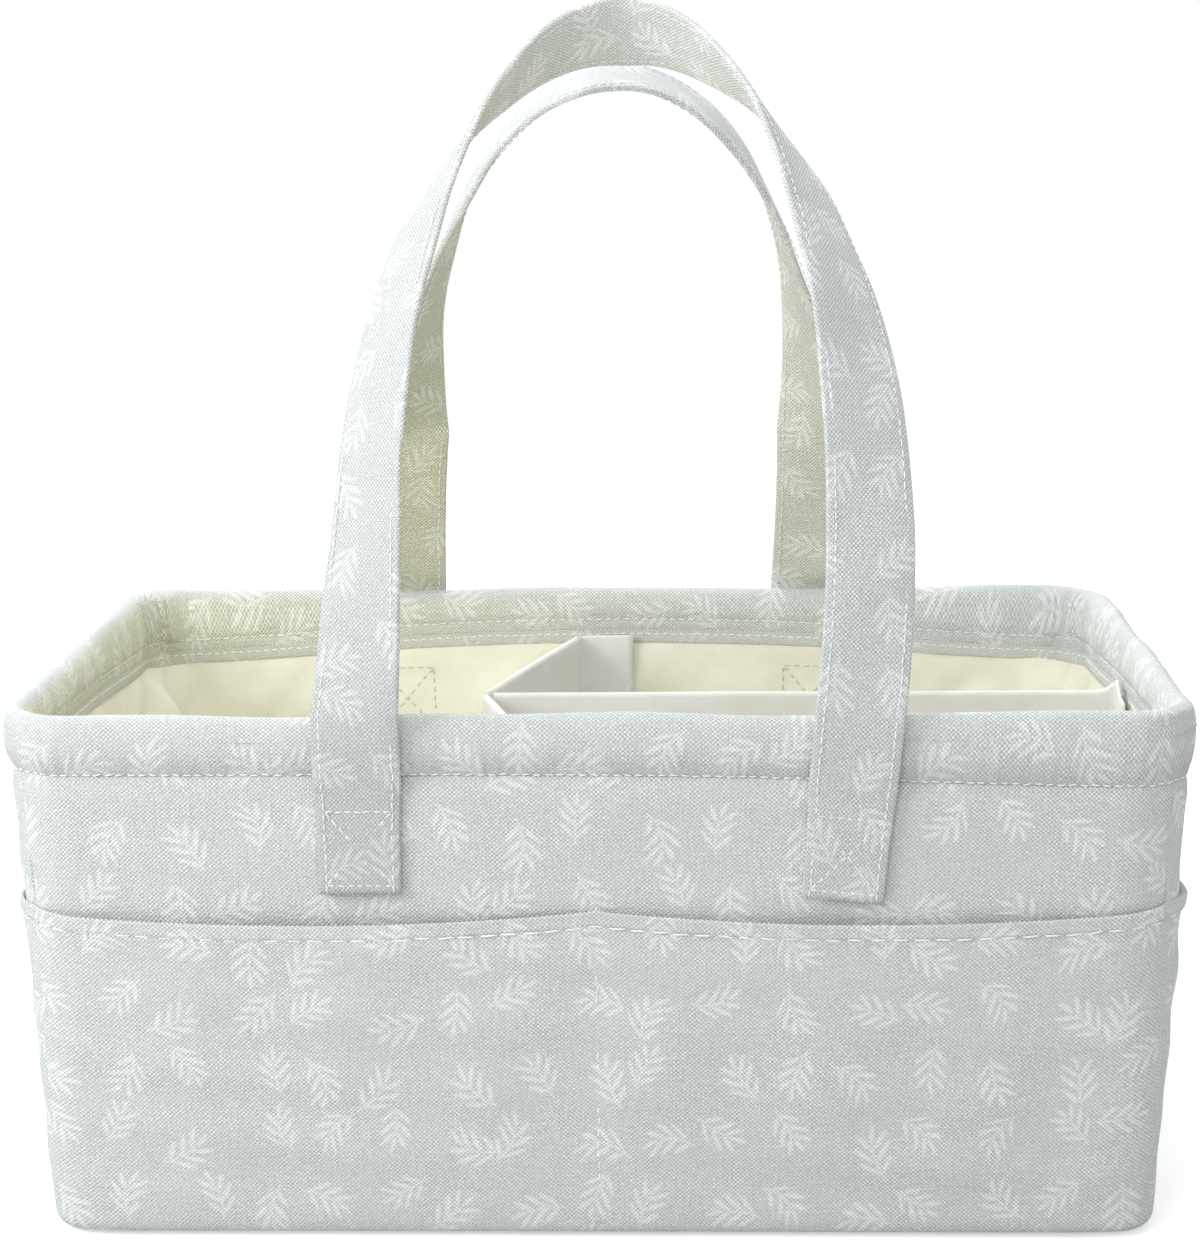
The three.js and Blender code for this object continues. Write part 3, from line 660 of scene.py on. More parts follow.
def build_outer_panel(turns):
    name = SIDES[turns]
    levels = [1.3, *np.linspace(1.7, BOTTOM_FILLET, 6), *np.linspace(BOTTOM_FILLET, WALL_TOP - 3, 40)[1:],
              *(WALL_TOP - np.array([2.2, 1.5, 0.8, 0]))]
    along, z = np.meshgrid(side_along(turns, 4, 2), levels)
    position = along + SIDE_STARTS[turns]
    ripple = 0.35 * waves(along / 70, z / 45, 30 + turns) * step(z, 4, 30)
    crease = 1.3 * step(z, WALL_TOP - 6, WALL_TOP) * seam_depth(position)
    face = (bottom_inset(z) + 0.1 * end_bumps(along, side_length(turns), 0, 1.4) + crease
            - np.maximum(ripple, -0.2) * step(WALL_TOP - z, 0, 12))
    z = z - outside_sag(position) * step(z, 90, WALL_TOP - 4)
    faces = (face, bottom_inset(z) + CANVAS + 0.1)
    grid, flat_map = wall_grid(turns, along, z, faces, PANEL_MAP_STEP * turns)
    item = skin(f"{name}_canvas_panel", grid, with_painted_light(flat_map))
    finish_piece(item, [f"outer_{name}_panel"])
    side_length(turns) * MM


def build_base():
    shares = ring_shares(10, 2.4)
    rows = [(40, 1.2), (8, 1.2), (bottom_inset(1.2) + 0.1, 1.2)]
    rows += [(bottom_inset(z), z) for z in (0.9, 0.5, 0.2, 0.05)]
    rows += [(BOTTOM_FILLET + 1, 0.0), (40, 0.0)]
    grid = np.stack([ring_points(shares, z, inset) for inset, z in rows])
    flat_map = closed(np.stack([grid[..., 0] + BASE_MAP_START, grid[..., 1]], -1), 1)
    item = skin("base_canvas_panel", grid, with_painted_light(flat_map), wrap_rows=False, wrap_columns=True)
    finish_piece(item, ["outer_base_panel"])


# Padded rim

def rim_rows():
    """The band from its stitched outer edge, over the roll, to its inner edge: (inset, height,
    how much it puckers, painted warm bounce light)."""
    rows = [(1.8, 152.6, 0, 0), (1.6, 152.9, 0.1, 0), (1.45, RIM_SEAM_HEIGHT, 0.2, 0), (0.95, 153.7, 0.4, 0),
            (0.45, 154.8, 0.8, 0), (-0.1, 156.4, 1.0, 0), (-0.6, 158.6, 0.9, 0), (-0.95, 161.0, 0.7, 0),
            (-1.05, 163.2, 0.5, 0)]
    for i in range(1, 16):
        angle = math.pi * i / 16
        rows.append((ROLL_CENTRE_INSET - (ROLL_HALF_WIDTH + 0.2) * math.cos(angle),
                     RIM_HEIGHT - ROLL_HEIGHT + ROLL_HEIGHT * math.sin(angle), 0.35, step(i, 8, 15)))
    rows += [(8.9, 164.5, 0.5, 1), (8.85, 163, 0.6, 1), (8.55, 161.9, 0.6, 1), (8.15, RIM_QUILT_HEIGHT, 0.3, 1),
             (8.35, 160.1, 0.5, 1), (8.4, 159, 0.4, 1), (8.2, 158, 0.2, 1), (8.1, 157.4, 0.05, 1),
             (8.08, 157.18, 0.05, 1), (7.98, 157.12, 0, 1), (7.6, 157.1, 0, 1)]
    return rows


def build_rim():
    shares = ring_shares(1.6, 1.2)
    fine = loop_waves(shares, 5, 150, 320, 14)
    columns = np.append(shares, 1.0) * PERIMETER
    # Painted warm bounce light on the band's inside and the tape, strongest at the left.
    painted_bounce_to_left = 0.95 * (0.5 - np.append(ring_points(shares, 160, 0)[:, 0], 0) / RIM_WIDTH) ** 1.2
    painted_bounce_to_left[-1] = painted_bounce_to_left[0]
    band_length = build_band(shares, fine, columns, painted_bounce_to_left)
    build_foam_roll()
    build_tape(shares, fine, columns, painted_bounce_to_left, band_length)

    dense = np.linspace(0, 1, 1600)
    normals = round_the_ring(dense, wall_normal)
    position = dense * PERIMETER
    outer_seam = ring_points(dense, RIM_SEAM_HEIGHT + 0.4 - outside_sag(position), 0.95 * seam_depth(position))
    seams.row(outer_seam, normals, 3.5, 2.5, 1)
    seams.row(ring_points(dense, RIM_QUILT_HEIGHT - inside_sag(position), 8.3), -normals, 3.5, 2.5, 2)
    seams.row(ring_points(dense, TAPE_SEAM_HEIGHT - inside_sag(position), 7.95), -normals, 3.2, 2.3, 3)


def build_band(shares, fine, columns, painted_bounce_to_left):
    """The padded band. Returns the length of cloth from its outer to its inner edge."""
    rows = rim_rows()
    broad = loop_waves(shares, 6, 14, 60, 10)
    drift = loop_waves(shares, 7, 3, 12, 5)
    uneven = loop_waves(shares, 8, 4, 18, 6)
    position = shares * PERIMETER
    in_corner = near_corners(position, SIDE_STARTS[:4], 1, 16)
    outside, inside = outside_sag(position), inside_sag(position)
    grid = []
    for inset, z, pucker, _ in rows:
        inner_side = step(inset, 3, 8)
        wobble = pucker * (0.16 * fine + 0.28 * broad) + 0.25 * drift * step(z, 154, 166)
        wobble = wobble + inner_side * in_corner * 0.9 * pucker * (broad + fine)
        out = inset - wobble * (1 - 2 * inner_side)
        if 0 < inset < 2:
            out = out * seam_depth(position)
        sag = inside * step(169 - z, 0, 7) if inset > 4 else outside * step(168 - z, 0, 14)
        grid.append(ring_points(shares, z + 0.35 * uneven * step(z, 160, 171) - sag, out))
    under = [(7.4, 157.3), (7.3, 164), (2.2, 164), (1.6, 162), (2.3, 152.6)]
    sags = [inside, 0, 0, 0, outside]
    grid += [ring_points(shares, z - sag, inset) for (inset, z), sag in zip(under, sags)]
    centre_line = np.array([row[:2] for row in rows] + under)
    lengths = run_lengths(centre_line)
    flat_map = map_grid(columns + RIM_MAP_START, np.append(lengths, lengths[-1] + 1) + 40)
    # Painted warm bounce light and painted light on the band's inner face, and painted shade on the band just above
    # the outer stitch line, where it faces downward.
    painted_bounce = np.array([row[3] for row in rows] + [1] * (len(under) + 1))[:, None]
    shade = -0.3 * painted_bounce
    heights = centre_line[:len(rows) // 2, 1:]
    shade[:len(rows) // 2] = 0.55 * step(heights, 152, 154) * step(163 - heights, 0, 9)
    maps = with_painted_light(flat_map, painted_bounce * painted_bounce_to_left, shade)
    item = skin("rim_canvas_band", np.stack(grid), maps, wrap_columns=True)
    finish_piece(item, ["rim_band"])
    return lengths[len(rows) - 1]


def build_foam_roll():
    angles = [math.pi * i / 12 for i in range(13)]
    rows = [(ROLL_CENTRE_INSET - 4.0 * math.cos(a), 164.3 + max(0.3, 6.2 * math.sin(a))) for a in angles]
    rows += [(7, 164.25), (-0.9, 164.25)]
    shares = ring_shares(8, 4)
    grid = np.stack([ring_points(shares, z, inset) for inset, z in rows])
    flat_map = np.zeros((len(rows) + 1, len(shares) + 1, 2))
    item = skin("rim_foam_roll", grid, flat_map, wrap_columns=True)
    finish_piece(item, ["rim_foam_core"], felt)


def build_tape(shares, fine, columns, painted_bounce_to_left, band_length):
    rows = [(7.35, TAPE_BOTTOM), (7.75, TAPE_BOTTOM + 0.1), (7.95, TAPE_BOTTOM + 0.5),
            (8.05, TAPE_SEAM_HEIGHT - 0.8), (7.92, TAPE_SEAM_HEIGHT), (8.05, TAPE_SEAM_HEIGHT + 0.8),
            (8.08, 156.9), (8.08, 157.05), (7.98, 157.08), (7.35, 157.09)]
    inside = inside_sag(shares * PERIMETER)
    grid = np.stack([ring_points(shares, z - inside + 0.08 * fine * step(156 - z, 0, 3),
                                 inset + 0.1 * fine * step(157 - z, 0, 2)) for inset, z in rows])
    below = 157.1 - np.array([z for _, z in rows] + [TAPE_BOTTOM])
    flat_map = map_grid(columns + RIM_MAP_START, band_length + 40 + below)
    # Painted warm bounce light on the tape, as on the band's inner face.
    item = skin("rim_inner_tape", grid, with_painted_light(flat_map, 0.8 * painted_bounce_to_left), wrap_columns=True)
    finish_piece(item, ["rim_binding_tape"], tape_cloth)


# Pockets

def pocket_point(turns, bays, along, drop, outward):
    """A point of a pocket, drop millimetres down from its top edge."""
    length = side_length(turns)
    slack = np.abs(np.sin(math.pi * ((bays * along / length) % 1))) ** POCKET_BAY_SHAPES[turns]
    top = POCKET_HEIGHT - POCKET_SAGS[turns] * slack
    z = np.maximum(top - drop, POCKET_BOTTOM)
    share = np.clip((z - POCKET_BOTTOM) / (top - POCKET_BOTTOM), 0, 1)
    stand = SEAT_GAP + outward + POCKET_STANDOFFS[turns] * slack * share ** POCKET_RISE
    stand = stand - 0.3 * end_bumps(along, length, 0, 1.6) - 0.75 * end_bumps(along, length, 0, 15)
    return wall_point(turns, along, z, bottom_inset(z) - stand)


def build_pocket(turns, bays):
    along = side_along(turns, 2.4, 1.8)
    length = side_length(turns)
    middle = length / 2
    full = POCKET_HEIGHT - POCKET_BOTTOM
    lower = [*np.linspace(10, full - BOTTOM_FILLET, 34)[1:], *np.linspace(full - BOTTOM_FILLET, full, 6)[1:]]
    outer = [(drop, POCKET_CLOTH + 0.35) for drop in (0.5, 1.0, 1.8, 2.8, 3.8, 4.4)]
    outer += [(HEM_HEIGHT, POCKET_CLOTH - 0.35)]
    outer += [(drop, POCKET_CLOTH) for drop in (5.6, 6.4, 8, 10, *lower)]
    fold = [(0.15, POCKET_CLOTH + 0.1), (0.0, POCKET_CLOTH * 0.62), (0.1, 0.3)]
    inner = [(drop, 0.0) for drop in (1.0, HEM_HEIGHT, 20, 50, 80, full - 5, full - 2, full)]
    profile = outer[::-1] + fold + inner
    rows = []
    for drop, outward in profile:
        ripple = 0.45 * waves(along / 60, drop / 34, 50 + turns)
        ripple = ripple + 0.18 * waves(along / 14, drop / 12, 60 + turns) * bump(drop, HEM_HEIGHT, 6)
        ripple = ripple * step(full - drop, 4, 25) * step(along, 1, 12) * step(length - along, 1, 12)
        shaped = np.maximum(ripple, -0.6)
        if bays == 2:
            shaped = shaped - 0.6 * bump(along, middle, 0.9)
        rows.append(pocket_point(turns, bays, along, drop, outward + shaped * (outward > 0.5)))
    lengths = np.array([full - drop if outward > 0.5 else full + drop for drop, outward in profile])
    start = POCKET_MAP_START + POCKET_MAP_STEP * turns
    flat_map = map_grid(along + start, np.append(lengths, lengths[-1] + 1) + 13)
    item = skin(f"{SIDES[turns]}_pocket_cloth", np.stack(rows), with_painted_light(flat_map))
    finish_piece(item, [f"{SIDES[turns]}_pocket"])
    dense = np.linspace(1.5, length - 1.5, 700)
    path = pocket_point(turns, bays, dense, HEM_HEIGHT, POCKET_CLOTH + 0.05)
    seams.row(path, wall_normal(turns, dense), 6.7, 5.1, 10 + turns, 0.32)
    if bays == 2:
        drops = np.linspace(-1.5, full - 3, 200)
        centre = np.full_like(drops, middle)
        path = pocket_point(turns, bays, centre, drops, POCKET_CLOTH - 0.45)
        seams.row(path, wall_normal(turns, centre), 3.6, 2.5, 20 + turns, 0.22)


# Handles

def leg_line(handle, side, low):
    """The middle line of one leg of a handle, from its sewn end up to the top of the loop."""
    over_rim = handle["rise"] * np.sin(math.pi / 2 * np.linspace(0, 1, PATH_SAMPLES + 1))
    z = np.concatenate([np.linspace(low, RIM_HEIGHT, PATH_SAMPLES, endpoint=False), RIM_HEIGHT + over_rim])
    share = np.maximum(0, z - RIM_HEIGHT) / handle["rise"]
    span = handle["span"] * np.sqrt(np.maximum(0, 1 - share ** handle["power"]))
    swayed = 1 - (1 - np.minimum(share, 1)) ** handle["sway_power"]
    sway = handle["sway_rim"] + (handle["sway_apex"] - handle["sway_rim"]) * swayed
    x = side * (span + np.minimum(0, z - RIM_HEIGHT) * math.tan(handle["tilts"][side])) + sway
    half = STRAP_THICKNESS / 2
    hinge_out = half_size(1, HINGE_HEIGHT) + SEAT_GAP + half
    apex_out = (HANDLE_GAP + STRAP_WIDTH * math.sin(handle["twist"])) / 2 + half * abs(math.cos(handle["twist"]))
    up = np.clip((z - HINGE_HEIGHT) / (RIM_HEIGHT - HINGE_HEIGHT), 0, 1)
    out = hinge_out + (STRAP_RIM_OUT - hinge_out) * np.sin(math.pi / 2 * up) ** STANDOFF_POWER
    out = np.where(z < HINGE_HEIGHT, half_size(1, z) + SEAT_GAP + half, out)
    out = np.where(z > RIM_HEIGHT, STRAP_RIM_OUT + (apex_out - STRAP_RIM_OUT) * share ** handle["lean_power"], out)
    return np.stack([x, handle["facing"] * out, z], -1)


def handle_frames(handle):
    """Points, across and outward directions and distances at equal steps along a whole strap."""
    left = leg_line(handle, -1, STRAP_END_HEIGHT)
    right = leg_line(handle, 1, STRAP_END_HEIGHT - 2.5 * (handle["tilts"][1] > 0))[::-1]
    dense = np.concatenate([left, right[1:]])
    lengths = run_lengths(dense)
    total = lengths[-1]
    apex, left_rim = lengths[len(left) - 1], lengths[PATH_SAMPLES]
    right_rim = lengths[len(dense) - 1 - PATH_SAMPLES]
    at = np.linspace(0, total, STRAP_STEPS + 1)
    ahead, behind = (follow(dense, lengths, np.clip(at + nudge, 0, total)) for nudge in (total / 130, -total / 130))
    tangent = unit(ahead - behind)
    on_left = at < apex
    climb = np.where(on_left, (at - left_rim) / (apex - left_rim), (right_rim - at) / (right_rim - apex))
    turned = np.maximum(0, (climb - handle["twist_start"]) / (1 - handle["twist_start"]))
    powers, early = (np.where(on_left, handle[key][-1], handle[key][1]) for key in ("twist_powers", "early_twists"))
    early = early * np.sin(math.pi * np.clip(climb / handle["early_reach"], 0, 1) ** handle["early_power"])
    twist = ((handle["twist"] * turned ** powers + early) * handle["facing"])[:, None]
    base = np.array([0, handle["facing"], 0.0])
    outward = unit(base - (tangent @ base)[:, None] * tangent)
    outward = outward * np.cos(twist) + np.cross(tangent, outward) * np.sin(twist)
    return follow(dense, lengths, at), np.cross(tangent, outward), outward, at


def strap_section():
    """The ribbon's rounded section as (across, outward)."""
    half, thick = STRAP_WIDTH / 2, STRAP_THICKNESS / 2
    top = []
    for share in np.linspace(-1, 1, 19):
        across = half * math.sin(share * math.pi / 2) if abs(share) > 0.9 else half * share * 1.08
        across = max(-half + 0.5, min(half - 0.5, across))
        dent = 0.28 * bump(abs(across), half - STRAP_SEAM_MARGIN, 0.8)
        edge = 1 - 0.35 * step(abs(across), half - 1.6, half)
        top.append((across, (thick + 0.12 * (1 - (across / half) ** 2)) * edge - dent))
    under = [(across, -out) for across, out in top[::-1]]
    return top + [(half, 0.35), (half, -0.35)] + under + [(-half, -0.35), (-half, 0.35)]


def build_handle(name):
    handle = HANDLES[name]
    points, across, outward, at = handle_frames(handle)
    section = np.array(strap_section())
    total = at[-1]
    seed, map_start, turns = (70, 7000, 0) if name == "front" else (80, 9000, 2)
    width = STRAP_END_WIDTH + (STRAP_WIDTH - STRAP_END_WIDTH) * step(np.minimum(at, total - at), 12, 44)
    width = (width / STRAP_WIDTH)[:, None]
    free = 1 - np.minimum(1, end_bumps(at, total, 0, 12) * 1.2)
    rows = []
    for a, o in section:
        flutter = 0.35 * waves(at / 55, a / 40, seed) * free
        rows.append(points + across * width * a + outward * (o + flutter)[:, None])
    flat_map = map_grid(at + map_start, run_lengths(closed(section, 0)))
    # Painted light and shade: warm bounce light and painted light on the ribbon's inner face, changed at the apex and
    # on the far leg, and painted shade on the outer face near the sewn ends.
    inner = np.append(section[:, 1] < 0, False)[:, None] * 1.0
    middle = bump(at, total / 2, 90)
    far_leg = step(at, total * 0.4, total * 0.6)
    near_ends = bump(at, 0, 75) + 0.5 * bump(at, total, 75)
    painted_bounce = inner * ((1.0 - 0.4 * far_leg) * (1 - 0.75 * middle))
    shade = (1 - inner) * 0.6 * near_ends - inner * (0.3 + 0.5 * middle + 0.35 * far_leg * (1 - middle))
    maps = with_painted_light(flat_map, painted_bounce, shade)
    item = skin(f"{name}_handle_ribbon", np.stack(rows), maps)
    finish_piece(item, [f"{name}_handle{part}" for part in ("", "_left_end", "_right_end")], body=None)
    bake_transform(item)

    edge = STRAP_WIDTH / 2 - STRAP_SEAM_MARGIN
    stitching = Stitches(f"{name}_handle_topstitch", 0.23)
    for side in (-1, 1):
        for face in (-1, 1):
            path = points + across * width * side * edge + outward * face * (STRAP_THICKNESS / 2 - 0.12)
            stitching.row(path, outward * face, 3.3, 2.4, seed + side + 2 * face)
    # The crossed box's uprights show on the lining alone, as the topstitching covers them outside.
    uprights = ((0, 3), (1, 2))
    for end, onward in ((0, 1), (-1, -2)):
        up, out = unit(points[onward] - points[end]), outward[end]
        right = np.cross(up, out)
        start = points[end] + out * (STRAP_THICKNESS / 2 - 0.05)
        edge_here = edge * width[end, 0]
        corners = [start + right * x * edge_here + up * y for x, y in ((-1, 2.6), (1, 2.6), (1, 26.5), (-1, 26.5))]
        for a, b in ((0, 1), (2, 3), (0, 2), (1, 3), *uprights):
            line_seed = seed + a * 4 + b
            if (a, b) not in uprights:
                stitching.row(np.linspace(corners[a], corners[b], 12), np.tile(out, (12, 1)), 2.9, 2.2, line_seed)
            path = np.linspace(corners[a], corners[b], 24)
            along = side_length(turns) / 2 - path[:, 0] * handle["facing"]
            path = wall_point(turns, along, path[:, 2], lining_inset(turns, along, path[:, 2]) + 0.1)
            lining_seams.row(path, np.tile(-out, (24, 1)), 3.3, 2.3, line_seed)
    threads = finish_piece(stitching.build(), [], material=thread, body=None)
    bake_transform(threads)


# Lining

def lining_inset(turns, along, z):
    """The lining's face: it hangs a little loose between the tape and the floor."""
    length = side_length(turns)
    lowered = z + inside_sag(along + SIDE_STARTS[turns])
    loose = step(z, 6, 40) * step(TAPE_BOTTOM + 4 - lowered, 0, 22)
    slant = along + 0.7 * z
    folds = 1.5 * np.abs(waves(slant / 62, z / 150, 90 + turns, spread=0.35))
    small = 0.4 * waves(slant / 22, z / 60, 94 + turns)
    corner = 2.2 * end_bumps(along, length, 6, 9)
    corner = corner + CORNER_BULGES[turns] * bump(along, 15, 10) * step(z, 70, 130)
    gather = 0.45 + 0.15 * np.sin(along / 3.1 + 2 * np.sin(along / 17))
    pull = gather * step(lowered, 138, TAPE_BOTTOM - 1) * step(TAPE_BOTTOM + 0.6 - lowered, 0, 0.8)
    across = np.abs(np.abs(along - length / 2) - SEWN_CENTRE) / 22
    sewn = np.exp(-across ** 4 - ((z - 130) / 18) ** 4) * (turns % 2 == 0)
    return LINING_FACE + loose * (folds + small + corner) * (1 - 0.8 * sewn) + pull


def build_lining():
    for turns, side in enumerate(SIDES):
        along, z = np.meshgrid(side_along(turns, 3.2, 2.4, gap=0.05), np.linspace(5.7, 157.2, 60))
        faces = (np.maximum(lining_inset(turns, along, z), LINING_FACE - 0.1), LINING_FACE - 0.8)
        grid, flat_map = wall_grid(turns, along, z, faces, LINING_MAP_STEP * turns)
        item = skin(f"{side}_lining_cloth", grid, flat_map)
        finish_piece(item, [f"lining_{side}"], lining_cloth)
        side_length(turns) * MM
    shares = ring_shares(8, 3)
    deepest = CORNER_RADIUS - 0.1
    rows = []
    for inset in (6.4, 7.5, 10, 20, 35, 50, 65, 80, 95, 109):
        row = ring_points(shares, 5, min(inset, deepest))
        plan = row[:, :2]
        plan -= np.sign(plan) * np.minimum(np.abs(plan), max(0, inset - deepest))
        row[:, 2] = LINING_FLOOR + 0.12 * waves(plan[:, 0] / 50, plan[:, 1] / 50, 99) * step(inset, 7, 20)
        rows.append(row)
    under = [row * (1, 1, 0) + (0, 0, LINING_FLOOR - 0.8) for row in rows[::-1]]
    grid = np.stack(rows + under)
    item = skin("floor_lining_cloth", grid, closed(closed(grid[..., :2], 1), 0), wrap_columns=True)
    finish_piece(item, ["lining_floor"], lining_cloth)


# Divider

def round_path(corners, radius):
    """Rounds the bends of a line in plan."""
    corners = [np.array(corner, float) for corner in corners]
    out = [corners[0]]
    for before, corner, after in zip(corners, corners[1:], corners[2:]):
        p0, p2 = (corner + unit(end - corner) * radius for end in (before, after))
        out += [(1 - t) ** 2 * p0 + 2 * t * (1 - t) * corner + t ** 2 * p2 for t in np.linspace(0, 1, 7)]
    return np.array([*out, corners[-1]])


def panel_path(kind, z):
    """A divider panel's middle line in plan at height z: points, distances, shares to use and its bend."""
    half = DIVIDER_THICKNESS / 2
    wall = half_size(1 if kind == "wing" else 0, z) - FLAP_FACE_INSET + FLAP_THICKNESS / 2
    if kind == "long":
        corners = [(FOLD_X + 1.2, 0), (wall, 0), (wall, -half - FLAP_WIDTH)]
    else:
        slope = np.array([math.cos(WING_ANGLE), math.sin(WING_ANGLE)])
        start = np.array([FOLD_X - half * slope[1], half + SEAT_GAP / 2 + half * slope[0]])
        corner_x = start[0] + (wall - start[1]) / slope[1] * slope[0]
        corners = [tuple(start + 0.4 * slope), (corner_x, wall), (corner_x + FLAP_WIDTH + 1, wall)]
    bend_at = math.dist(corners[0], corners[1])
    path = round_path(corners, 3.0)
    lengths = run_lengths(path)
    near_bend = np.linspace(bend_at - 5, bend_at + 3, 12) / lengths[-1]
    shares = np.sort(np.concatenate([np.linspace(0, 1, int(bend_at / 3) + 20), near_bend]))
    return path, lengths, shares, bend_at


def build_panel(name, kind, mirror, body, node):
    *low, shares, _ = panel_path(kind, DIVIDER_BOTTOM)
    *high, _, bend = panel_path(kind, DIVIDER_TOP)
    half = DIVIDER_THICKNESS / 2

    def plan_at(z, at):
        t = (z - DIVIDER_BOTTOM) / (DIVIDER_TOP - DIVIDER_BOTTOM)
        ends = [follow(path, lengths, at * lengths[-1]) for path, lengths in (low, high)]
        return ends[0] * (1 - t) + ends[1] * t

    total = high[1][-1]
    along = shares * total
    thickness = half + (FLAP_THICKNESS / 2 - half) * step(along, bend - 2.5, bend + 0.5)
    thickness = thickness * (0.55 + 0.45 * step(along, 0, 1.6)) * (0.6 + 0.4 * step(total - along, 0, 1.2))
    side_z = np.concatenate([[DIVIDER_BOTTOM], np.linspace(12, DIVIDER_TOP - 4, 22), [DIVIDER_TOP - 1.6]])
    profile = [(z, 1.0) for z in side_z]
    profile += [(DIVIDER_TOP - 1.5 + 1.5 * math.sin(t), math.cos(t)) for t in np.linspace(0.25, math.pi - 0.25, 7)]
    profile += [(z, -1.0) for z in side_z[::-1]]
    seed = {"long": 120, "wing": 130}[kind] + (mirror > 0)
    peak = 4.5 * bump(along, bend + 3, 5) * (kind == "long")
    free = np.sin(np.clip(along / bend, 0, 1) * math.pi)
    rows = []
    for z, side in profile:
        tangent = unit(plan_at(z, shares + 0.006) - plan_at(z, shares - 0.006))
        normal = np.stack([-tangent[:, 1], tangent[:, 0]], -1)
        bow = 0.22 * waves(along / 120, z / 110, seed, count=4) * free
        soft = 0.1 * np.abs(waves(along / 26, z / 30, seed + 5)) * free * abs(side)
        plan = plan_at(z, shares) + normal * (side * thickness + bow + side * soft)[:, None]
        rows.append(np.column_stack([plan * (1, mirror), z + peak * step(z, 120, DIVIDER_TOP)]))
    heights = np.array([z if side > 0 else 2 * DIVIDER_TOP - z for z, side in profile])
    flat_map = map_grid(along + seed * 10, np.append(heights, heights[-1] + 3))
    item = skin(f"{name}_cloth", np.stack(rows), flat_map)
    finish_piece(item, [node], divider_cloth, body)

    z_line = np.linspace(DIVIDER_BOTTOM + 3, DIVIDER_TOP - 2.5, 60)
    normal = np.array({"long": (-1.0, 0, 0), "wing": (0, -1.0, 0)}[kind])
    centre = np.array([[*plan_at(z, 1 - 2.2 / total), z] for z in z_line])
    path = (centre + normal * (FLAP_THICKNESS / 2 + 0.02)) * (1, mirror, 1)
    stitching = Stitches(f"{name}_topstitch", 0.22)
    stitching.row(path, np.tile(normal * (1, mirror, 1), (60, 1)), 3.2, 2.2, seed)
    finish_piece(stitching.build(), [], thread, body)


# Assembly

seams = Stitches("canvas_topstitch", 0.26)
lining_seams = Stitches("lining_stitches", 0.3)
for wall_turns in range(4):
    build_outer_panel(wall_turns)
build_base()
build_rim()
for wall_turns, bay_count in enumerate((2, 1, 2, 1)):
    build_pocket(wall_turns, bay_count)
for handle_name in HANDLES:
    build_handle(handle_name)
build_lining()
build_panel("divider_long_panel", "long", 1, "divider", "divider_long_cover")
build_panel("divider_front_wing", "wing", -1, "front_wing", "front_wing_cover")
build_panel("divider_back_wing", "wing", 1, "back_wing", "back_wing_cover")
finish_piece(seams.build(), [], material=thread)
finish_piece(lining_seams.build(), [], lining_thread)

kept_nodes = {
    felt: [f"stiffener_{side}" for side in SIDES],
    board: ["base_board", "divider_long_board", "front_wing_board", "back_wing_board"],
    fastening_tape: [f"{place}_{kind}" for place in ("front", "back", "right")
                     for kind in ("hook_strip", "loop_patch")],
}
for kept_material, names in kept_nodes.items():
    for node_name in names:
        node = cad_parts[node_name]
        for material_slot in node.material_slots:
            material_slot.material = kept_material


# Camera, light and floor

PHOTO_HEIGHT = 1252
FOCAL_PIXELS = 2855
SENSOR_HEIGHT = 36
CAMERA_PLACE = (0.03236, -0.96775, 0.36406)
CAMERA_TURN = (90 - 10.855, 0.651, 1.884)
WORLD_STRENGTH = 0.71
FLOOR_REACH = 60
# The floor's 0.7 of the world's light and this white together have to reach 1.
FLOOR_WHITE = 0.52


def build_camera():
    """The photo's camera, solved from the body, rim and handles together."""
    data = bpy.data.cameras.new("camera")
    data.sensor_fit = "VERTICAL"
    data.sensor_height = SENSOR_HEIGHT
    data.lens = SENSOR_HEIGHT * FOCAL_PIXELS / PHOTO_HEIGHT
    data.clip_end = 50
    item = linked("camera", data)
    item.location = CAMERA_PLACE
    item.rotation_euler = [math.radians(angle) for angle in CAMERA_TURN]
    bpy.context.scene.camera = item


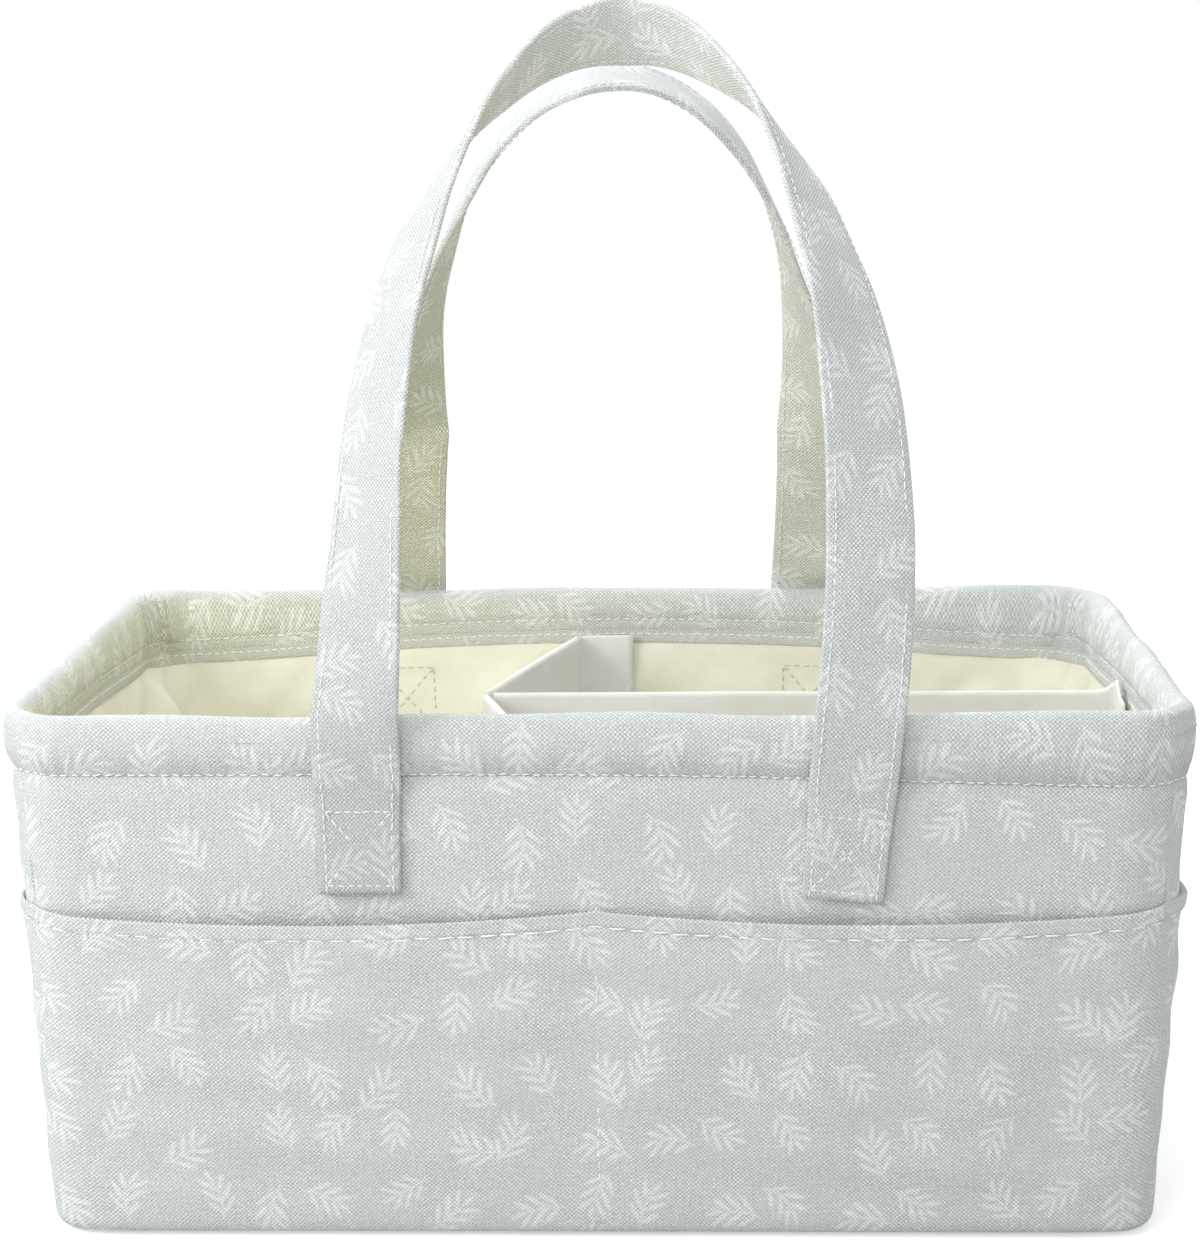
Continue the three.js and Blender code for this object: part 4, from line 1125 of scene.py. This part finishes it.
def area_light(name, location, target, size, power):
    data = bpy.data.lights.new(name, "AREA")
    data.shape = "RECTANGLE"
    data.size, data.size_y = size
    data.energy = power
    item = linked(name, data)
    item.location = location
    item.rotation_euler = Vector(np.subtract(target, location)).to_track_quat("-Z", "Y").to_euler()


def build_world():
    """Soft white light from all round. The camera sees it at a strength of 1."""
    world = bpy.data.worlds.new("studio")
    bpy.context.scene.world = world
    n = Nodes(world)
    background = n.tree.nodes["Background"]
    seen = n.node("ShaderNodeLightPath").outputs["Is Camera Ray"]
    n.feed(background.inputs["Color"], (1.0, 1.0, 1.0))
    n.feed(background.inputs["Strength"], n.ramp(seen, 0, 1, WORLD_STRENGTH, 1.0, "LINEAR"))


def build_floor():
    """Pale paper that keeps the shadow. What the camera sees of it has plain white added."""
    mesh = bpy.data.meshes.new("floor")
    corners = [(x * FLOOR_REACH, y * FLOOR_REACH, 0) for x, y in ((-1, -1), (1, -1), (1, 1), (-1, 1))]
    mesh.from_pydata(corners, [], [(0, 1, 2, 3)])
    floor = linked("floor", mesh)
    floor.location.z = -0.0002
    n = Nodes(bpy.data.materials.new("floor_paper"))
    n.surface((0.7, 0.7, 0.7), 1.0, Specular_IOR_Level=0.0)
    seen = n.node("ShaderNodeLightPath").outputs["Is Camera Ray"]
    glow = n.node("ShaderNodeEmission", {"Strength": n.mul(seen, FLOOR_WHITE)}).outputs[0]
    both = n.node("ShaderNodeAddShader", {0: n.shader.outputs[0], 1: glow}).outputs[0]
    n.feed(n.tree.nodes["Material Output"].inputs["Surface"], both)
    mesh.materials.append(n.owner)


build_camera()
build_world()
area_light("key", (-0.65, -0.5, 0.5), (0, 0, 0.12), (0.35, 0.35), 3.0)
area_light("front", (-0.25, -0.9, 0.7), (-0.05, 0, 0.12), (0.4, 0.4), 1.4)
area_light("top", (-0.1, -0.1, 1.4), (0, 0, 0.1), (1.0, 0.8), 5.5)
area_light("back", (-0.2, 0.8, 1.1), (0, 0, 0.12), (0.8, 0.8), 8.7)
build_floor()
bpy.context.scene.view_settings.view_transform = "Standard"
